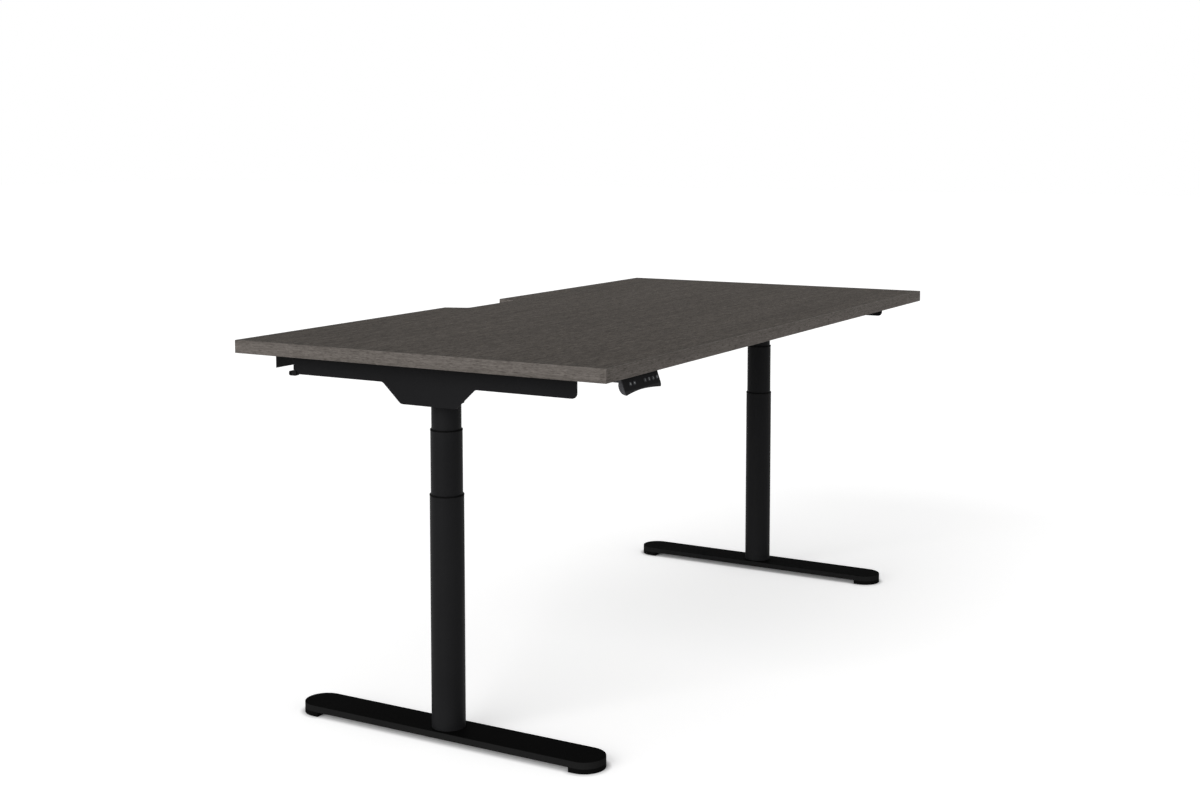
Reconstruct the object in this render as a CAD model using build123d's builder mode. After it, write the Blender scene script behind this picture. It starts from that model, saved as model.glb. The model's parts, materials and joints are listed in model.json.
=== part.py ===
"""Height adjustable standing desk: two round three-stage lifting columns under a laminated top.

Millimetres, +Z up. The origin is on the floor under the middle of the desktop.
+X runs along the desk to the user's right, and -Y faces the user. The desk stands at
its everyday sitting height, between its lowest and its highest position.
"""

import os
from math import atan2, degrees, hypot

from build123d import *

os.makedirs("parts", exist_ok=True)

# Desktop
desktop_length = 1600.0
desktop_depth = 800.0
desktop_thickness = 25.0
desktop_height = 725.0
laminate_thickness = 0.8
band_thickness = 2.0
band_rounding = 1.0

# Cable notch in the rear edge
notch_mouth_width = 225.0
notch_floor_width = 186.0
notch_depth = 51.0
notch_mouth_rounding = 6.0
notch_floor_rounding = 10.0

# Columns: three round tubes, each sliding inside the one below
column_inset = 102.0
column_y = -10.0
outer_tube_diameter = 63.0
tube_wall = 1.5
tube_gap = 0.5
middle_tube_showing = 120.0
lug_gap = 5.5
ring_height = 2.5
ring_overhang = 0.4
sliding_gap = 0.3

# Travel from the modelled height
travel_down = 85.0
travel_up = 555.0
stop_gap = 1.5

# Feet
foot_length = 656.0
foot_width = 77.0
foot_plate_thickness = 12.5
foot_edge_rounding = 1.2
pad_height = 8.9
pad_length = 50.0
column_base_thickness = 5.0

# Levelling screws in the pads
levelling_inset = 26.0
levelling_disc_diameter = 26.0
levelling_disc_thickness = 3.6
levelling_stem_diameter = 10.0
levelling_recess = 0.5
levelling_travel = 6.0
levelling_grip = 3.6
levelling_hole_margin = 1.0

# Spindle drive inside each column
base_spindle_diameter = 14.0
base_spindle_bore = 9.5
hollow_spindle_diameter = 22.0
hollow_spindle_bore = 17.0
running_clearance = 0.05
lower_nut_length = 21.3
nut_flange_diameter = 32.0
nut_flange_thickness = 3.4
carrier_thickness = 7.0
collar_thickness = 3.0
upper_nut_thickness = 18.0
hex_socket_length = 20.0
hex_across_flats = 7.0
hex_clearance = 0.1
axial_play = 0.3
spindle_overrun = 4.5
drive_shaft_overrun = 12.5

# Side brackets, pressed from sheet steel
sheet_thickness = 3.0
bracket_offset = 57.0
bracket_length = 615.0
bracket_depth = 38.0
bracket_column_depth = 75.5
bracket_column_width = 120.0
bracket_shoulder_width = 201.0
bracket_corner_radius = 10.0
bracket_bend_radius = 4.0
top_flange_width = 40.0
column_flange_margin = 5.5
bracket_screw_reaches = (150.0, 270.0)

# Gearboxes and motors
gearbox_length = 84.0
gearbox_width = 92.0
gearbox_height = 44.0
gearbox_wall = 4.0
gearbox_corner_radius = 8.0
gearbox_lid_thickness = 5.0
gearbox_top_gap = 10.0
gearbox_ear_length = 56.0
gearbox_ear_thickness = 6.0
gearbox_bolt_reach = 19.0
bearing_wall = 5.0
tube_seat_height = 6.0
gear_shaft_diameter = 12.0
wheel_diameter = 42.0
wheel_thickness = 12.0
wheel_teeth = 28
tooth_depth = 2.0
motor_diameter = 40.0
motor_length = 96.0
motor_flange_thickness = 5.0
motor_flange_height = 36.0
motor_spigot_diameter = 20.0
motor_worm_radius = 5.0
motor_cap_length = 12.0
motor_cap_step = 1.5

# Cross rails between the brackets
rail_size = 30.0
rail_wall = 2.0
rail_corner_radius = 3.0
rail_offset = 75.0

# Fasteners
wood_screw_diameter = 4.5
wood_screw_length = 18.0
wood_screw_head_diameter = 9.0
wood_screw_head_height = 3.2
frame_bolt_diameter = 6.0
frame_bolt_head_diameter = 11.0
frame_bolt_head_height = 4.0
hex_key_width = 4.0
hex_key_depth = 2.0
hole_clearance = 0.25
thread_clearance = 0.05

# Cable tray under the rear edge
tray_end_gap = 52.0
tray_height = 30.4
tray_depth = 47.0
tray_sheet = 1.5
tray_setback = 56.0
tray_flange_width = 22.0
tray_lip_height = 19.0
tray_end_relief = 65.0
tray_screw_inset = 58.0
tray_screw_count = 7

# Cable clips on the rear ends of the brackets
clip_length = 17.5
clip_width = 9.0
clip_height = 9.0
clip_overhang = 8.5
clip_wall = 3.0
clip_hole_diameter = 4.0

# Control box
control_box_length = 240.0
control_box_width = 92.0
control_box_height = 31.0
control_box_wall = 2.5
control_box_setback = 210.0
control_box_rounding = 5.0
control_box_ear = 14.0
control_box_ear_thickness = 3.0
socket_width = 17.0
socket_height = 13.0
socket_depth = 12.0
socket_wall = 1.5
socket_pitch = 32.0
inlet_width = 28.0
inlet_height = 20.0

# Handset under the front edge
handset_length = 132.0
handset_inset = 135.0
handset_drop = 30.0
handset_slant = 10.5
handset_front_gap = 0.5
handset_lip_reach = 14.5
handset_lip_bulge = 5.5
handset_body_depth = 60.0
handset_body_height = 8.0
handset_edge_arch = 5.0
handset_corner_radius = 8.0
handset_screw_reach = 45.0
handset_screw_inset = 14.0
handset_screw_floor = 3.0
face_thickness = 1.6
face_margin = 2.5
face_corner_radius = 3.0
button_width = 9.0
button_height = 7.0
button_rounding = 2.6
button_proud = 1.0
button_gap = 0.3
button_travel = 0.8
button_skirt = 0.7
button_skirt_thickness = 0.8
button_play = 0.15
button_spare = 0.4
button_pitch = 14.8
arrow_group_x = -33.0
number_group_x = 35.2

# Worked out from the sizes above
underside_z = desktop_height - desktop_thickness
core_top_z = desktop_height - laminate_thickness
column_x = desktop_length / 2 - column_inset
stage_step = 2 * (tube_wall + tube_gap)
middle_tube_diameter = outer_tube_diameter - stage_step
top_tube_diameter = middle_tube_diameter - stage_step
outer_tube_bore = outer_tube_diameter - 2 * tube_wall
middle_tube_bore = middle_tube_diameter - 2 * tube_wall
top_tube_bore = top_tube_diameter - 2 * tube_wall
control_box_y = desktop_depth / 2 - control_box_setback
foot_top_z = pad_height + foot_plate_thickness
levelling_stem_top_z = pad_height + levelling_travel + levelling_grip
column_flange_z = underside_z - bracket_column_depth
middle_tube_top_z = column_flange_z - lug_gap - travel_down / 2 - ring_height
outer_tube_top_z = middle_tube_top_z - middle_tube_showing
column_base_top_z = foot_top_z + column_base_thickness
middle_tube_bottom_z = column_base_top_z + stop_gap + travel_down / 2
lower_nut_bottom_z = middle_tube_bottom_z + axial_play
hollow_spindle_bottom_z = lower_nut_bottom_z + nut_flange_thickness
carrier_bottom_z = hollow_spindle_bottom_z + axial_play
carrier_top_z = carrier_bottom_z + carrier_thickness
collar_bottom_z = carrier_top_z + axial_play
collar_top_z = collar_bottom_z + collar_thickness
top_tube_bottom_z = carrier_top_z + stop_gap + travel_down / 2
upper_nut_bottom_z = collar_top_z + stop_gap + travel_down / 2
upper_nut_top_z = upper_nut_bottom_z + upper_nut_thickness
hex_socket_bottom_z = upper_nut_top_z + travel_up / 2 + spindle_overrun
hollow_spindle_top_z = hex_socket_bottom_z + hex_socket_length
lower_nut_top_z = hollow_spindle_bottom_z + lower_nut_length
base_spindle_top_z = lower_nut_top_z + travel_up / 2 + spindle_overrun
drive_shaft_bottom_z = hex_socket_bottom_z - travel_up / 2 - drive_shaft_overrun
bracket_x = column_x + bracket_offset
bracket_bottom_z = underside_z - bracket_depth
gearbox_top_z = underside_z - gearbox_top_gap
gearbox_bottom_z = gearbox_top_z - gearbox_height
bearing_wall_bottom_z = gearbox_bottom_z + tube_seat_height
gear_room_bottom_z = bearing_wall_bottom_z + bearing_wall
lid_bottom_z = gearbox_top_z - gearbox_lid_thickness
gear_room_height = lid_bottom_z - gear_room_bottom_z
wheel_middle_z = gear_room_bottom_z + gear_room_height / 2
motor_y = column_y + wheel_diameter / 2 + motor_worm_radius
rail_bottom_z = underside_z - sheet_thickness - rail_size
flange_bolt_x = bracket_x - top_flange_width / 2
sides = (("left", -1), ("right", 1))


def keep(builder, name):
    """Label a finished piece and write its STEP file."""
    builder.part.label = name
    export_step(builder.part, f"parts/{name}.step")


def ring_profile(outside, inside):
    """Draw a round ring in the sketch that is open."""
    Circle(outside / 2)
    Circle(inside / 2, mode=Mode.SUBTRACT)


def column_axis(side, height):
    """A level plane whose origin is on the axis of one column."""
    return Plane.XY.offset(height).shift_origin((side * column_x, column_y, height))


# ---------------------------------------------------------------------------
# Feet, pads and levelling screws
# ---------------------------------------------------------------------------

levelling_reach = foot_length / 2 - levelling_inset
pad_ends = (("front", -1), ("rear", 1))
foot_bolt_ring = (base_spindle_diameter + outer_tube_bore) / 4

for side_name, side in sides:
    with BuildPart() as foot:
        with BuildSketch(column_axis(side, pad_height)):
            SlotOverall(foot_length, foot_width, rotation=90)
        extrude(amount=foot_plate_thickness)
        fillet(foot.faces().sort_by(Axis.Z)[-1].outer_wire().edges(), foot_edge_rounding)
        with Locations(column_axis(side, pad_height)):
            with PolarLocations(foot_bolt_ring, 4, start_angle=45):
                with Locations(Rotation(180, 0, 0)):
                    CounterSinkHole(
                        frame_bolt_diameter / 2 + hole_clearance,
                        frame_bolt_head_diameter / 2 + hole_clearance,
                        foot_plate_thickness,
                    )
        with BuildSketch(column_axis(side, pad_height)):
            with Locations((0, -levelling_reach), (0, levelling_reach)):
                Circle(levelling_stem_diameter / 2 + thread_clearance)
        extrude(amount=levelling_stem_top_z - pad_height + levelling_hole_margin, mode=Mode.SUBTRACT)
    keep(foot, f"foot_{side_name}")

with BuildPart() as foot_pads:
    for side_name, side in sides:
        for end_name, end in pad_ends:
            with BuildSketch(column_axis(side, 0)):
                SlotOverall(foot_length, foot_width, rotation=90)
                with Locations((0, end * foot_length / 2)):
                    Rectangle(foot_width, 2 * pad_length, mode=Mode.INTERSECT)
                with Locations((0, end * levelling_reach)):
                    Circle(levelling_stem_diameter / 2 + hole_clearance, mode=Mode.SUBTRACT)
            extrude(amount=pad_height)
            with BuildSketch(column_axis(side, 0)):
                with Locations((0, end * levelling_reach)):
                    Circle(levelling_disc_diameter / 2 + 2 * sliding_gap)
            extrude(amount=levelling_recess + levelling_disc_thickness + sliding_gap, mode=Mode.SUBTRACT)
keep(foot_pads, "foot_pads")

for side_name, side in sides:
    for end_name, end in pad_ends:
        with BuildPart() as levelling_screw:
            screw_place = Plane.XY.offset(levelling_recess).shift_origin(
                (side * column_x, column_y + end * levelling_reach, levelling_recess)
            )
            with BuildSketch(screw_place):
                Circle(levelling_disc_diameter / 2)
            extrude(amount=levelling_disc_thickness)
            with BuildSketch(screw_place):
                Circle(levelling_stem_diameter / 2)
            extrude(amount=levelling_stem_top_z - levelling_recess)
            with BuildSketch(screw_place):
                RegularPolygon(hex_key_width, 6, major_radius=False)
            extrude(amount=hex_key_depth, mode=Mode.SUBTRACT)
        keep(levelling_screw, f"levelling_screw_{end_name}_{side_name}")


# ---------------------------------------------------------------------------
# Column tubes, glide rings and column bases
# ---------------------------------------------------------------------------

for side_name, side in sides:
    with BuildPart() as outer_tube:
        with BuildSketch(column_axis(side, foot_top_z)):
            ring_profile(outer_tube_diameter, outer_tube_bore)
        extrude(amount=outer_tube_top_z - foot_top_z)
    keep(outer_tube, f"outer_tube_{side_name}")

    with BuildPart() as middle_tube:
        with BuildSketch(column_axis(side, middle_tube_bottom_z)):
            ring_profile(middle_tube_diameter, middle_tube_bore)
        extrude(amount=middle_tube_top_z - middle_tube_bottom_z)
    keep(middle_tube, f"middle_tube_{side_name}")

    with BuildPart() as top_tube:
        with BuildSketch(column_axis(side, top_tube_bottom_z)):
            ring_profile(top_tube_diameter, top_tube_bore)
        extrude(amount=bearing_wall_bottom_z - top_tube_bottom_z)
    keep(top_tube, f"top_tube_{side_name}")

    with BuildPart() as middle_ring:
        with BuildSketch(column_axis(side, middle_tube_top_z)):
            ring_profile(middle_tube_diameter + 2 * ring_overhang, top_tube_diameter + 2 * sliding_gap)
        extrude(amount=ring_height)
        fillet(middle_ring.faces().sort_by(Axis.Z)[-1].outer_wire().edges(), ring_overhang)
    keep(middle_ring, f"middle_ring_{side_name}")

with BuildPart() as outer_rings:
    for side_name, side in sides:
        with BuildSketch(column_axis(side, outer_tube_top_z)):
            ring_profile(outer_tube_diameter + 2 * ring_overhang, middle_tube_diameter + 2 * sliding_gap)
        extrude(amount=ring_height)
    for ring_top in outer_rings.faces().group_by(Axis.Z)[-1]:
        fillet(ring_top.outer_wire().edges(), ring_overhang)
keep(outer_rings, "outer_rings")

with BuildPart() as column_bases:
    for side_name, side in sides:
        with BuildSketch(column_axis(side, foot_top_z)):
            ring_profile(outer_tube_bore, base_spindle_diameter)
            with PolarLocations(foot_bolt_ring, 4, start_angle=45):
                Circle(frame_bolt_diameter / 2 + thread_clearance, mode=Mode.SUBTRACT)
        extrude(amount=column_base_thickness)
keep(column_bases, "column_bases")

with BuildPart() as foot_bolts:
    for side_name, side in sides:
        with Locations(column_axis(side, pad_height)):
            with PolarLocations(foot_bolt_ring, 4, start_angle=45):
                Cylinder(
                    frame_bolt_diameter / 2,
                    foot_plate_thickness + column_base_thickness,
                    align=(Align.CENTER, Align.CENTER, Align.MIN),
                )
                Cone(
                    frame_bolt_head_diameter / 2,
                    frame_bolt_diameter / 2,
                    (frame_bolt_head_diameter - frame_bolt_diameter) / 2,
                    align=(Align.CENTER, Align.CENTER, Align.MIN),
                )
        with BuildSketch(column_axis(side, pad_height)):
            with PolarLocations(foot_bolt_ring, 4, start_angle=45):
                RegularPolygon(hex_key_width / 2, 6, major_radius=False)
        extrude(amount=hex_key_depth, mode=Mode.SUBTRACT)
keep(foot_bolts, "foot_bolts")


# ---------------------------------------------------------------------------
# Spindle drive: a fixed base spindle, a turning hollow spindle carried by the
# middle tube, and a hexagonal shaft that turns it from the gearbox above
# ---------------------------------------------------------------------------

with BuildPart() as base_spindles:
    for side_name, side in sides:
        with BuildSketch(column_axis(side, foot_top_z)):
            ring_profile(base_spindle_diameter, base_spindle_bore)
        extrude(amount=base_spindle_top_z - foot_top_z)
keep(base_spindles, "base_spindles")

for side_name, side in sides:
    with BuildPart() as spindle_carrier:
        with BuildSketch(column_axis(side, carrier_bottom_z)):
            ring_profile(middle_tube_bore, hollow_spindle_diameter + 2 * running_clearance)
        extrude(amount=carrier_thickness)
    keep(spindle_carrier, f"spindle_carrier_{side_name}")

    with BuildPart() as lower_nut:
        with BuildSketch(column_axis(side, lower_nut_bottom_z)):
            Circle(nut_flange_diameter / 2)
        extrude(amount=nut_flange_thickness)
        with BuildSketch(column_axis(side, hollow_spindle_bottom_z)):
            Circle(hollow_spindle_bore / 2)
        extrude(amount=lower_nut_length)
        with BuildSketch(column_axis(side, lower_nut_bottom_z)):
            Circle(base_spindle_diameter / 2 + running_clearance)
        extrude(amount=nut_flange_thickness + lower_nut_length, mode=Mode.SUBTRACT)
    keep(lower_nut, f"lower_nut_{side_name}")

    with BuildPart() as hollow_spindle:
        with BuildSketch(column_axis(side, hollow_spindle_bottom_z)):
            Circle(hollow_spindle_diameter / 2)
        extrude(amount=hollow_spindle_top_z - hollow_spindle_bottom_z)
        with BuildSketch(column_axis(side, collar_bottom_z)):
            Circle(nut_flange_diameter / 2)
        extrude(amount=collar_thickness)
        with BuildSketch(column_axis(side, hollow_spindle_bottom_z)):
            Circle(hollow_spindle_bore / 2)
        extrude(amount=hex_socket_bottom_z - hollow_spindle_bottom_z, mode=Mode.SUBTRACT)
        with BuildSketch(column_axis(side, hex_socket_bottom_z)):
            RegularPolygon(hex_across_flats / 2 + hex_clearance, 6, major_radius=False)
        extrude(amount=hex_socket_length, mode=Mode.SUBTRACT)
    keep(hollow_spindle, f"hollow_spindle_{side_name}")

    with BuildPart() as drive_shaft:
        with BuildSketch(column_axis(side, drive_shaft_bottom_z)):
            RegularPolygon(hex_across_flats / 2, 6, major_radius=False)
        extrude(amount=bearing_wall_bottom_z - stop_gap - drive_shaft_bottom_z)
        with BuildSketch(column_axis(side, bearing_wall_bottom_z - stop_gap)):
            Circle(gear_shaft_diameter / 2)
        extrude(amount=lid_bottom_z + gearbox_lid_thickness / 2 - bearing_wall_bottom_z + stop_gap)
    keep(drive_shaft, f"drive_shaft_{side_name}")

    with BuildPart() as worm_wheel:
        with BuildSketch(column_axis(side, wheel_middle_z - wheel_thickness / 2)):
            ring_profile(wheel_diameter, gear_shaft_diameter)
            with PolarLocations(wheel_diameter / 2, wheel_teeth):
                Circle(tooth_depth / 2, mode=Mode.SUBTRACT)
        extrude(amount=wheel_thickness)
    keep(worm_wheel, f"worm_wheel_{side_name}")

with BuildPart() as upper_nuts:
    for side_name, side in sides:
        with BuildSketch(column_axis(side, upper_nut_bottom_z)):
            ring_profile(top_tube_bore, hollow_spindle_diameter + 2 * running_clearance)
        extrude(amount=upper_nut_thickness)
keep(upper_nuts, "upper_nuts")


# ---------------------------------------------------------------------------
# Side brackets, pressed from sheet: a web that deepens at the column, a top
# flange under the desktop and a lug that is welded round the top tube
# ---------------------------------------------------------------------------

bracket_front_y = column_y - bracket_length / 2
bracket_rear_y = column_y + bracket_length / 2
bracket_screw_ys = [column_y + end * reach for reach in bracket_screw_reaches for end in (-1, 1)]
rail_ys = (column_y - rail_offset, column_y + rail_offset)


def outermost(edges):
    """The edge that lies furthest from the middle of the desk, along X."""
    return max(edges, key=lambda edge: abs(edge.center().X))


for side_name, side in sides:
    with BuildPart() as side_bracket:
        with BuildSketch(Plane.YZ.offset(side * bracket_x)) as web:
            with BuildLine():
                Polyline(
                    (bracket_front_y, underside_z),
                    (bracket_front_y, bracket_bottom_z),
                    (column_y - bracket_shoulder_width / 2, bracket_bottom_z),
                    (column_y - bracket_column_width / 2, column_flange_z),
                    (column_y + bracket_column_width / 2, column_flange_z),
                    (column_y + bracket_shoulder_width / 2, bracket_bottom_z),
                    (bracket_rear_y, bracket_bottom_z),
                    (bracket_rear_y, underside_z),
                    close=True,
                )
            make_face()
            fillet(web.vertices().group_by(Axis.Y)[0], bracket_corner_radius)
            fillet(web.vertices().group_by(Axis.Y)[2], bracket_corner_radius)
        extrude(amount=-side * sheet_thickness)
        with BuildSketch(Plane.XY.offset(underside_z - sheet_thickness)):
            with Locations((side * flange_bolt_x, column_y)):
                Rectangle(top_flange_width, bracket_length)
        extrude(amount=sheet_thickness)
        with BuildSketch(Plane.XY.offset(column_flange_z)):
            with Locations((side * column_x, column_y)):
                Circle(top_tube_diameter / 2 + column_flange_margin)
            with Locations((side * (bracket_x - sheet_thickness / 2), column_y)):
                Rectangle(sheet_thickness, bracket_column_width - 2 * bracket_corner_radius)
            make_hull()
        extrude(amount=sheet_thickness)
        long_edges = side_bracket.edges().filter_by(Axis.Y)
        fillet(outermost(long_edges.group_by(Axis.Z)[-1]), bracket_bend_radius)
        with BuildSketch(Plane.XY.offset(column_flange_z)):
            with Locations((side * column_x, column_y)):
                Circle(top_tube_diameter / 2)
        extrude(amount=sheet_thickness, mode=Mode.SUBTRACT)
        with BuildSketch(Plane.XY.offset(underside_z - sheet_thickness)):
            with Locations(*[(side * flange_bolt_x, spot_y) for spot_y in bracket_screw_ys]):
                Circle(wood_screw_diameter / 2 + hole_clearance)
            with Locations(*[(side * flange_bolt_x, spot_y) for spot_y in rail_ys]):
                Circle(frame_bolt_diameter / 2 + thread_clearance)
        extrude(amount=sheet_thickness, mode=Mode.SUBTRACT)
    keep(side_bracket, f"side_bracket_{side_name}")


# ---------------------------------------------------------------------------
# Cross rails, gearboxes, motors and the bolts that hold them
# ---------------------------------------------------------------------------

rail_length = 2 * (bracket_x - sheet_thickness)
gearbox_bolt_xs = [
    side * column_x + reach for side in (-1, 1) for reach in (-gearbox_bolt_reach, gearbox_bolt_reach)
]

for rail_name, rail_y in zip(("front", "rear"), rail_ys):
    with BuildPart() as cross_rail:
        with BuildSketch(Plane.YZ.offset(-rail_length / 2)):
            with Locations((rail_y, rail_bottom_z + rail_size / 2)):
                RectangleRounded(rail_size, rail_size, rail_corner_radius)
                RectangleRounded(
                    rail_size - 2 * rail_wall,
                    rail_size - 2 * rail_wall,
                    rail_corner_radius - rail_wall,
                    mode=Mode.SUBTRACT,
                )
        extrude(amount=rail_length)
        with BuildSketch(Plane.XY.offset(rail_bottom_z)):
            with Locations((-flange_bolt_x, rail_y), (flange_bolt_x, rail_y)):
                Circle(frame_bolt_diameter / 2 + hole_clearance)
        extrude(amount=rail_size, mode=Mode.SUBTRACT)
        with BuildSketch(Plane.XY.offset(rail_bottom_z)):
            with Locations(*[(bolt_x, rail_y) for bolt_x in gearbox_bolt_xs]):
                Circle(frame_bolt_diameter / 2 + thread_clearance)
        extrude(amount=rail_wall, mode=Mode.SUBTRACT)
    keep(cross_rail, f"cross_rail_{rail_name}")

for side_name, side in sides:
    inner_wall_x = side * (column_x - gearbox_length / 2)
    with BuildPart() as gearbox:
        with BuildSketch(column_axis(side, gearbox_bottom_z)):
            RectangleRounded(gearbox_length, gearbox_width, gearbox_corner_radius)
        extrude(amount=lid_bottom_z - gearbox_bottom_z)
        with BuildSketch(column_axis(side, rail_bottom_z - gearbox_ear_thickness)):
            RectangleRounded(gearbox_ear_length, 2 * rail_offset + rail_size, gearbox_corner_radius)
            with GridLocations(2 * gearbox_bolt_reach, 2 * rail_offset, 2, 2):
                Circle(frame_bolt_diameter / 2 + hole_clearance, mode=Mode.SUBTRACT)
        extrude(amount=gearbox_ear_thickness)
        with BuildSketch(column_axis(side, gearbox_bottom_z)):
            Circle(top_tube_diameter / 2)
        extrude(amount=tube_seat_height, mode=Mode.SUBTRACT)
        with BuildSketch(column_axis(side, bearing_wall_bottom_z)):
            Circle(gear_shaft_diameter / 2 + running_clearance)
        extrude(amount=bearing_wall, mode=Mode.SUBTRACT)
        with BuildSketch(column_axis(side, gear_room_bottom_z)):
            RectangleRounded(
                gearbox_length - 2 * gearbox_wall,
                gearbox_width - 2 * gearbox_wall,
                gearbox_corner_radius - gearbox_wall,
            )
        extrude(amount=gear_room_height, mode=Mode.SUBTRACT)
        with BuildSketch(Plane.YZ.offset(inner_wall_x)):
            with Locations((motor_y, wheel_middle_z)):
                Circle(motor_spigot_diameter / 2)
        extrude(amount=side * gearbox_wall, mode=Mode.SUBTRACT)
    keep(gearbox, f"gearbox_{side_name}")

    with BuildPart() as motor:
        with BuildSketch(Plane.YZ.offset(inner_wall_x)):
            with Locations((motor_y, wheel_middle_z)):
                Circle(motor_spigot_diameter / 2)
        extrude(amount=side * gearbox_wall)
        with BuildSketch(Plane.YZ.offset(inner_wall_x)):
            with Locations((motor_y, wheel_middle_z)):
                RectangleRounded(motor_flange_height, motor_flange_height, motor_cap_length / 2)
        extrude(amount=-side * motor_flange_thickness)
        with BuildSketch(Plane.YZ.offset(inner_wall_x - side * motor_flange_thickness)):
            with Locations((motor_y, wheel_middle_z)):
                Circle(motor_diameter / 2 - motor_cap_step)
        extrude(amount=-side * (motor_length - motor_flange_thickness))
        with BuildSketch(Plane.YZ.offset(inner_wall_x - side * (motor_length - motor_cap_length))):
            with Locations((motor_y, wheel_middle_z)):
                Circle(motor_diameter / 2)
        extrude(amount=-side * motor_cap_length)
    keep(motor, f"motor_{side_name}")

with BuildPart() as gearbox_lids:
    for side_name, side in sides:
        with BuildSketch(column_axis(side, lid_bottom_z)):
            RectangleRounded(gearbox_length, gearbox_width, gearbox_corner_radius)
        extrude(amount=gearbox_lid_thickness)
        with BuildSketch(column_axis(side, lid_bottom_z)):
            Circle(gear_shaft_diameter / 2 + running_clearance)
        extrude(amount=gearbox_lid_thickness / 2 + axial_play, mode=Mode.SUBTRACT)
keep(gearbox_lids, "gearbox_lids")


def bolts_from_below(spots, seat_z, length):
    """Socket head bolts at the given places, with their heads under the seat."""
    with BuildPart() as bolts:
        with BuildSketch(Plane.XY.offset(seat_z)):
            with Locations(*spots):
                Circle(frame_bolt_diameter / 2)
        extrude(amount=length)
        with BuildSketch(Plane.XY.offset(seat_z)):
            with Locations(*spots):
                Circle(frame_bolt_head_diameter / 2)
        extrude(amount=-frame_bolt_head_height)
        with BuildSketch(Plane.XY.offset(seat_z - frame_bolt_head_height)):
            with Locations(*spots):
                RegularPolygon(hex_key_width / 2, 6, major_radius=False)
        extrude(amount=hex_key_depth, mode=Mode.SUBTRACT)
    return bolts


rail_bolt_spots = [(side * flange_bolt_x, rail_y) for side in (-1, 1) for rail_y in rail_ys]
keep(bolts_from_below(rail_bolt_spots, rail_bottom_z, rail_size + sheet_thickness), "rail_bolts")

gearbox_bolt_spots = [(bolt_x, rail_y) for bolt_x in gearbox_bolt_xs for rail_y in rail_ys]
gearbox_bolt_length = gearbox_ear_thickness + 2 * rail_wall
keep(
    bolts_from_below(gearbox_bolt_spots, rail_bottom_z - gearbox_ear_thickness, gearbox_bolt_length),
    "gearbox_bolts",
)


# ---------------------------------------------------------------------------
# Places of the wood screws that hold everything to the desktop
# ---------------------------------------------------------------------------

tray_front_y = desktop_depth / 2 - tray_setback
tray_screw_y = tray_front_y - tray_flange_width / 2
tray_length = desktop_length - 2 * tray_end_gap
tray_screw_pitch = (tray_length - 2 * tray_screw_inset) / (tray_screw_count - 1)
tray_screw_xs = [(i - (tray_screw_count - 1) / 2) * tray_screw_pitch for i in range(tray_screw_count)]
ear_screw_x = (control_box_length + control_box_ear) / 2
handset_x = handset_inset - desktop_length / 2
handset_bottom_y = handset_front_gap - desktop_depth / 2
handset_top_y = handset_bottom_y + handset_slant
handset_rear_y = handset_top_y + handset_body_depth
handset_screw_y = handset_rear_y - handset_screw_inset

bracket_seat_z = underside_z - sheet_thickness
tray_seat_z = underside_z - tray_sheet
control_box_seat_z = underside_z - control_box_ear_thickness
handset_seat_z = underside_z - handset_screw_floor
wood_screw_spots = (
    [(side * flange_bolt_x, y, bracket_seat_z) for side in (-1, 1) for y in bracket_screw_ys]
    + [(x, tray_screw_y, tray_seat_z) for x in tray_screw_xs]
    + [(end * ear_screw_x, control_box_y, control_box_seat_z) for end in (-1, 1)]
    + [(handset_x + end * handset_screw_reach, handset_screw_y, handset_seat_z) for end in (-1, 1)]
)

with BuildPart() as wood_screws:
    for spot in wood_screw_spots:
        with Locations(spot):
            Cylinder(
                wood_screw_diameter / 2,
                wood_screw_length,
                align=(Align.CENTER, Align.CENTER, Align.MIN),
            )
            Cone(
                wood_screw_head_diameter / 3,
                wood_screw_head_diameter / 2,
                wood_screw_head_height,
                align=(Align.CENTER, Align.CENTER, Align.MAX),
            )
        with BuildSketch(Plane.XY.offset(spot[2] - wood_screw_head_height)):
            with Locations(spot[:2]):
                RegularPolygon(hex_key_width / 2, 6, major_radius=False)
        extrude(amount=hex_key_depth, mode=Mode.SUBTRACT)
keep(wood_screws, "wood_screws")


# ---------------------------------------------------------------------------
# Desktop: a core board, a top laminate and four edge bands
# ---------------------------------------------------------------------------


def desktop_outline():
    """Draw the desktop's outline, with the cable notch, in the sketch that is open."""
    rear_y = desktop_depth / 2
    Rectangle(desktop_length, desktop_depth)
    with BuildSketch(mode=Mode.PRIVATE) as notch:
        with BuildLine():
            Polyline(
                (-notch_mouth_width / 2, rear_y),
                (-notch_floor_width / 2, rear_y - notch_depth),
                (notch_floor_width / 2, rear_y - notch_depth),
                (notch_mouth_width / 2, rear_y),
                close=True,
            )
        make_face()
    add(notch.sketch, mode=Mode.SUBTRACT)


def round_notch(outline):
    """Round the corners of the cable notch in a finished outline."""
    notch_corners = outline.vertices().filter_by_position(Axis.X, -notch_mouth_width, notch_mouth_width)
    by_depth = notch_corners.group_by(Axis.Y)
    fillet(by_depth[0], notch_floor_rounding)
    fillet(by_depth[-1], notch_mouth_rounding)


def laminate_sheet(bottom_z, thickness):
    """A board that fills the space inside the edge bands."""
    with BuildPart() as sheet:
        with BuildSketch(Plane.XY.offset(bottom_z)) as outline:
            desktop_outline()
            round_notch(outline)
            offset(amount=-band_thickness)
        extrude(amount=thickness)
    return sheet


with BuildPart() as desktop_core:
    add(laminate_sheet(underside_z, core_top_z - underside_z).part)
    for x, y, seat_z in wood_screw_spots:
        with BuildSketch(Plane.XY.offset(underside_z)):
            with Locations((x, y)):
                Circle(wood_screw_diameter / 2 + thread_clearance)
        extrude(amount=seat_z + wood_screw_length - underside_z, mode=Mode.SUBTRACT)
keep(desktop_core, "desktop_core")

keep(laminate_sheet(core_top_z, laminate_thickness), "top_laminate")

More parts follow.
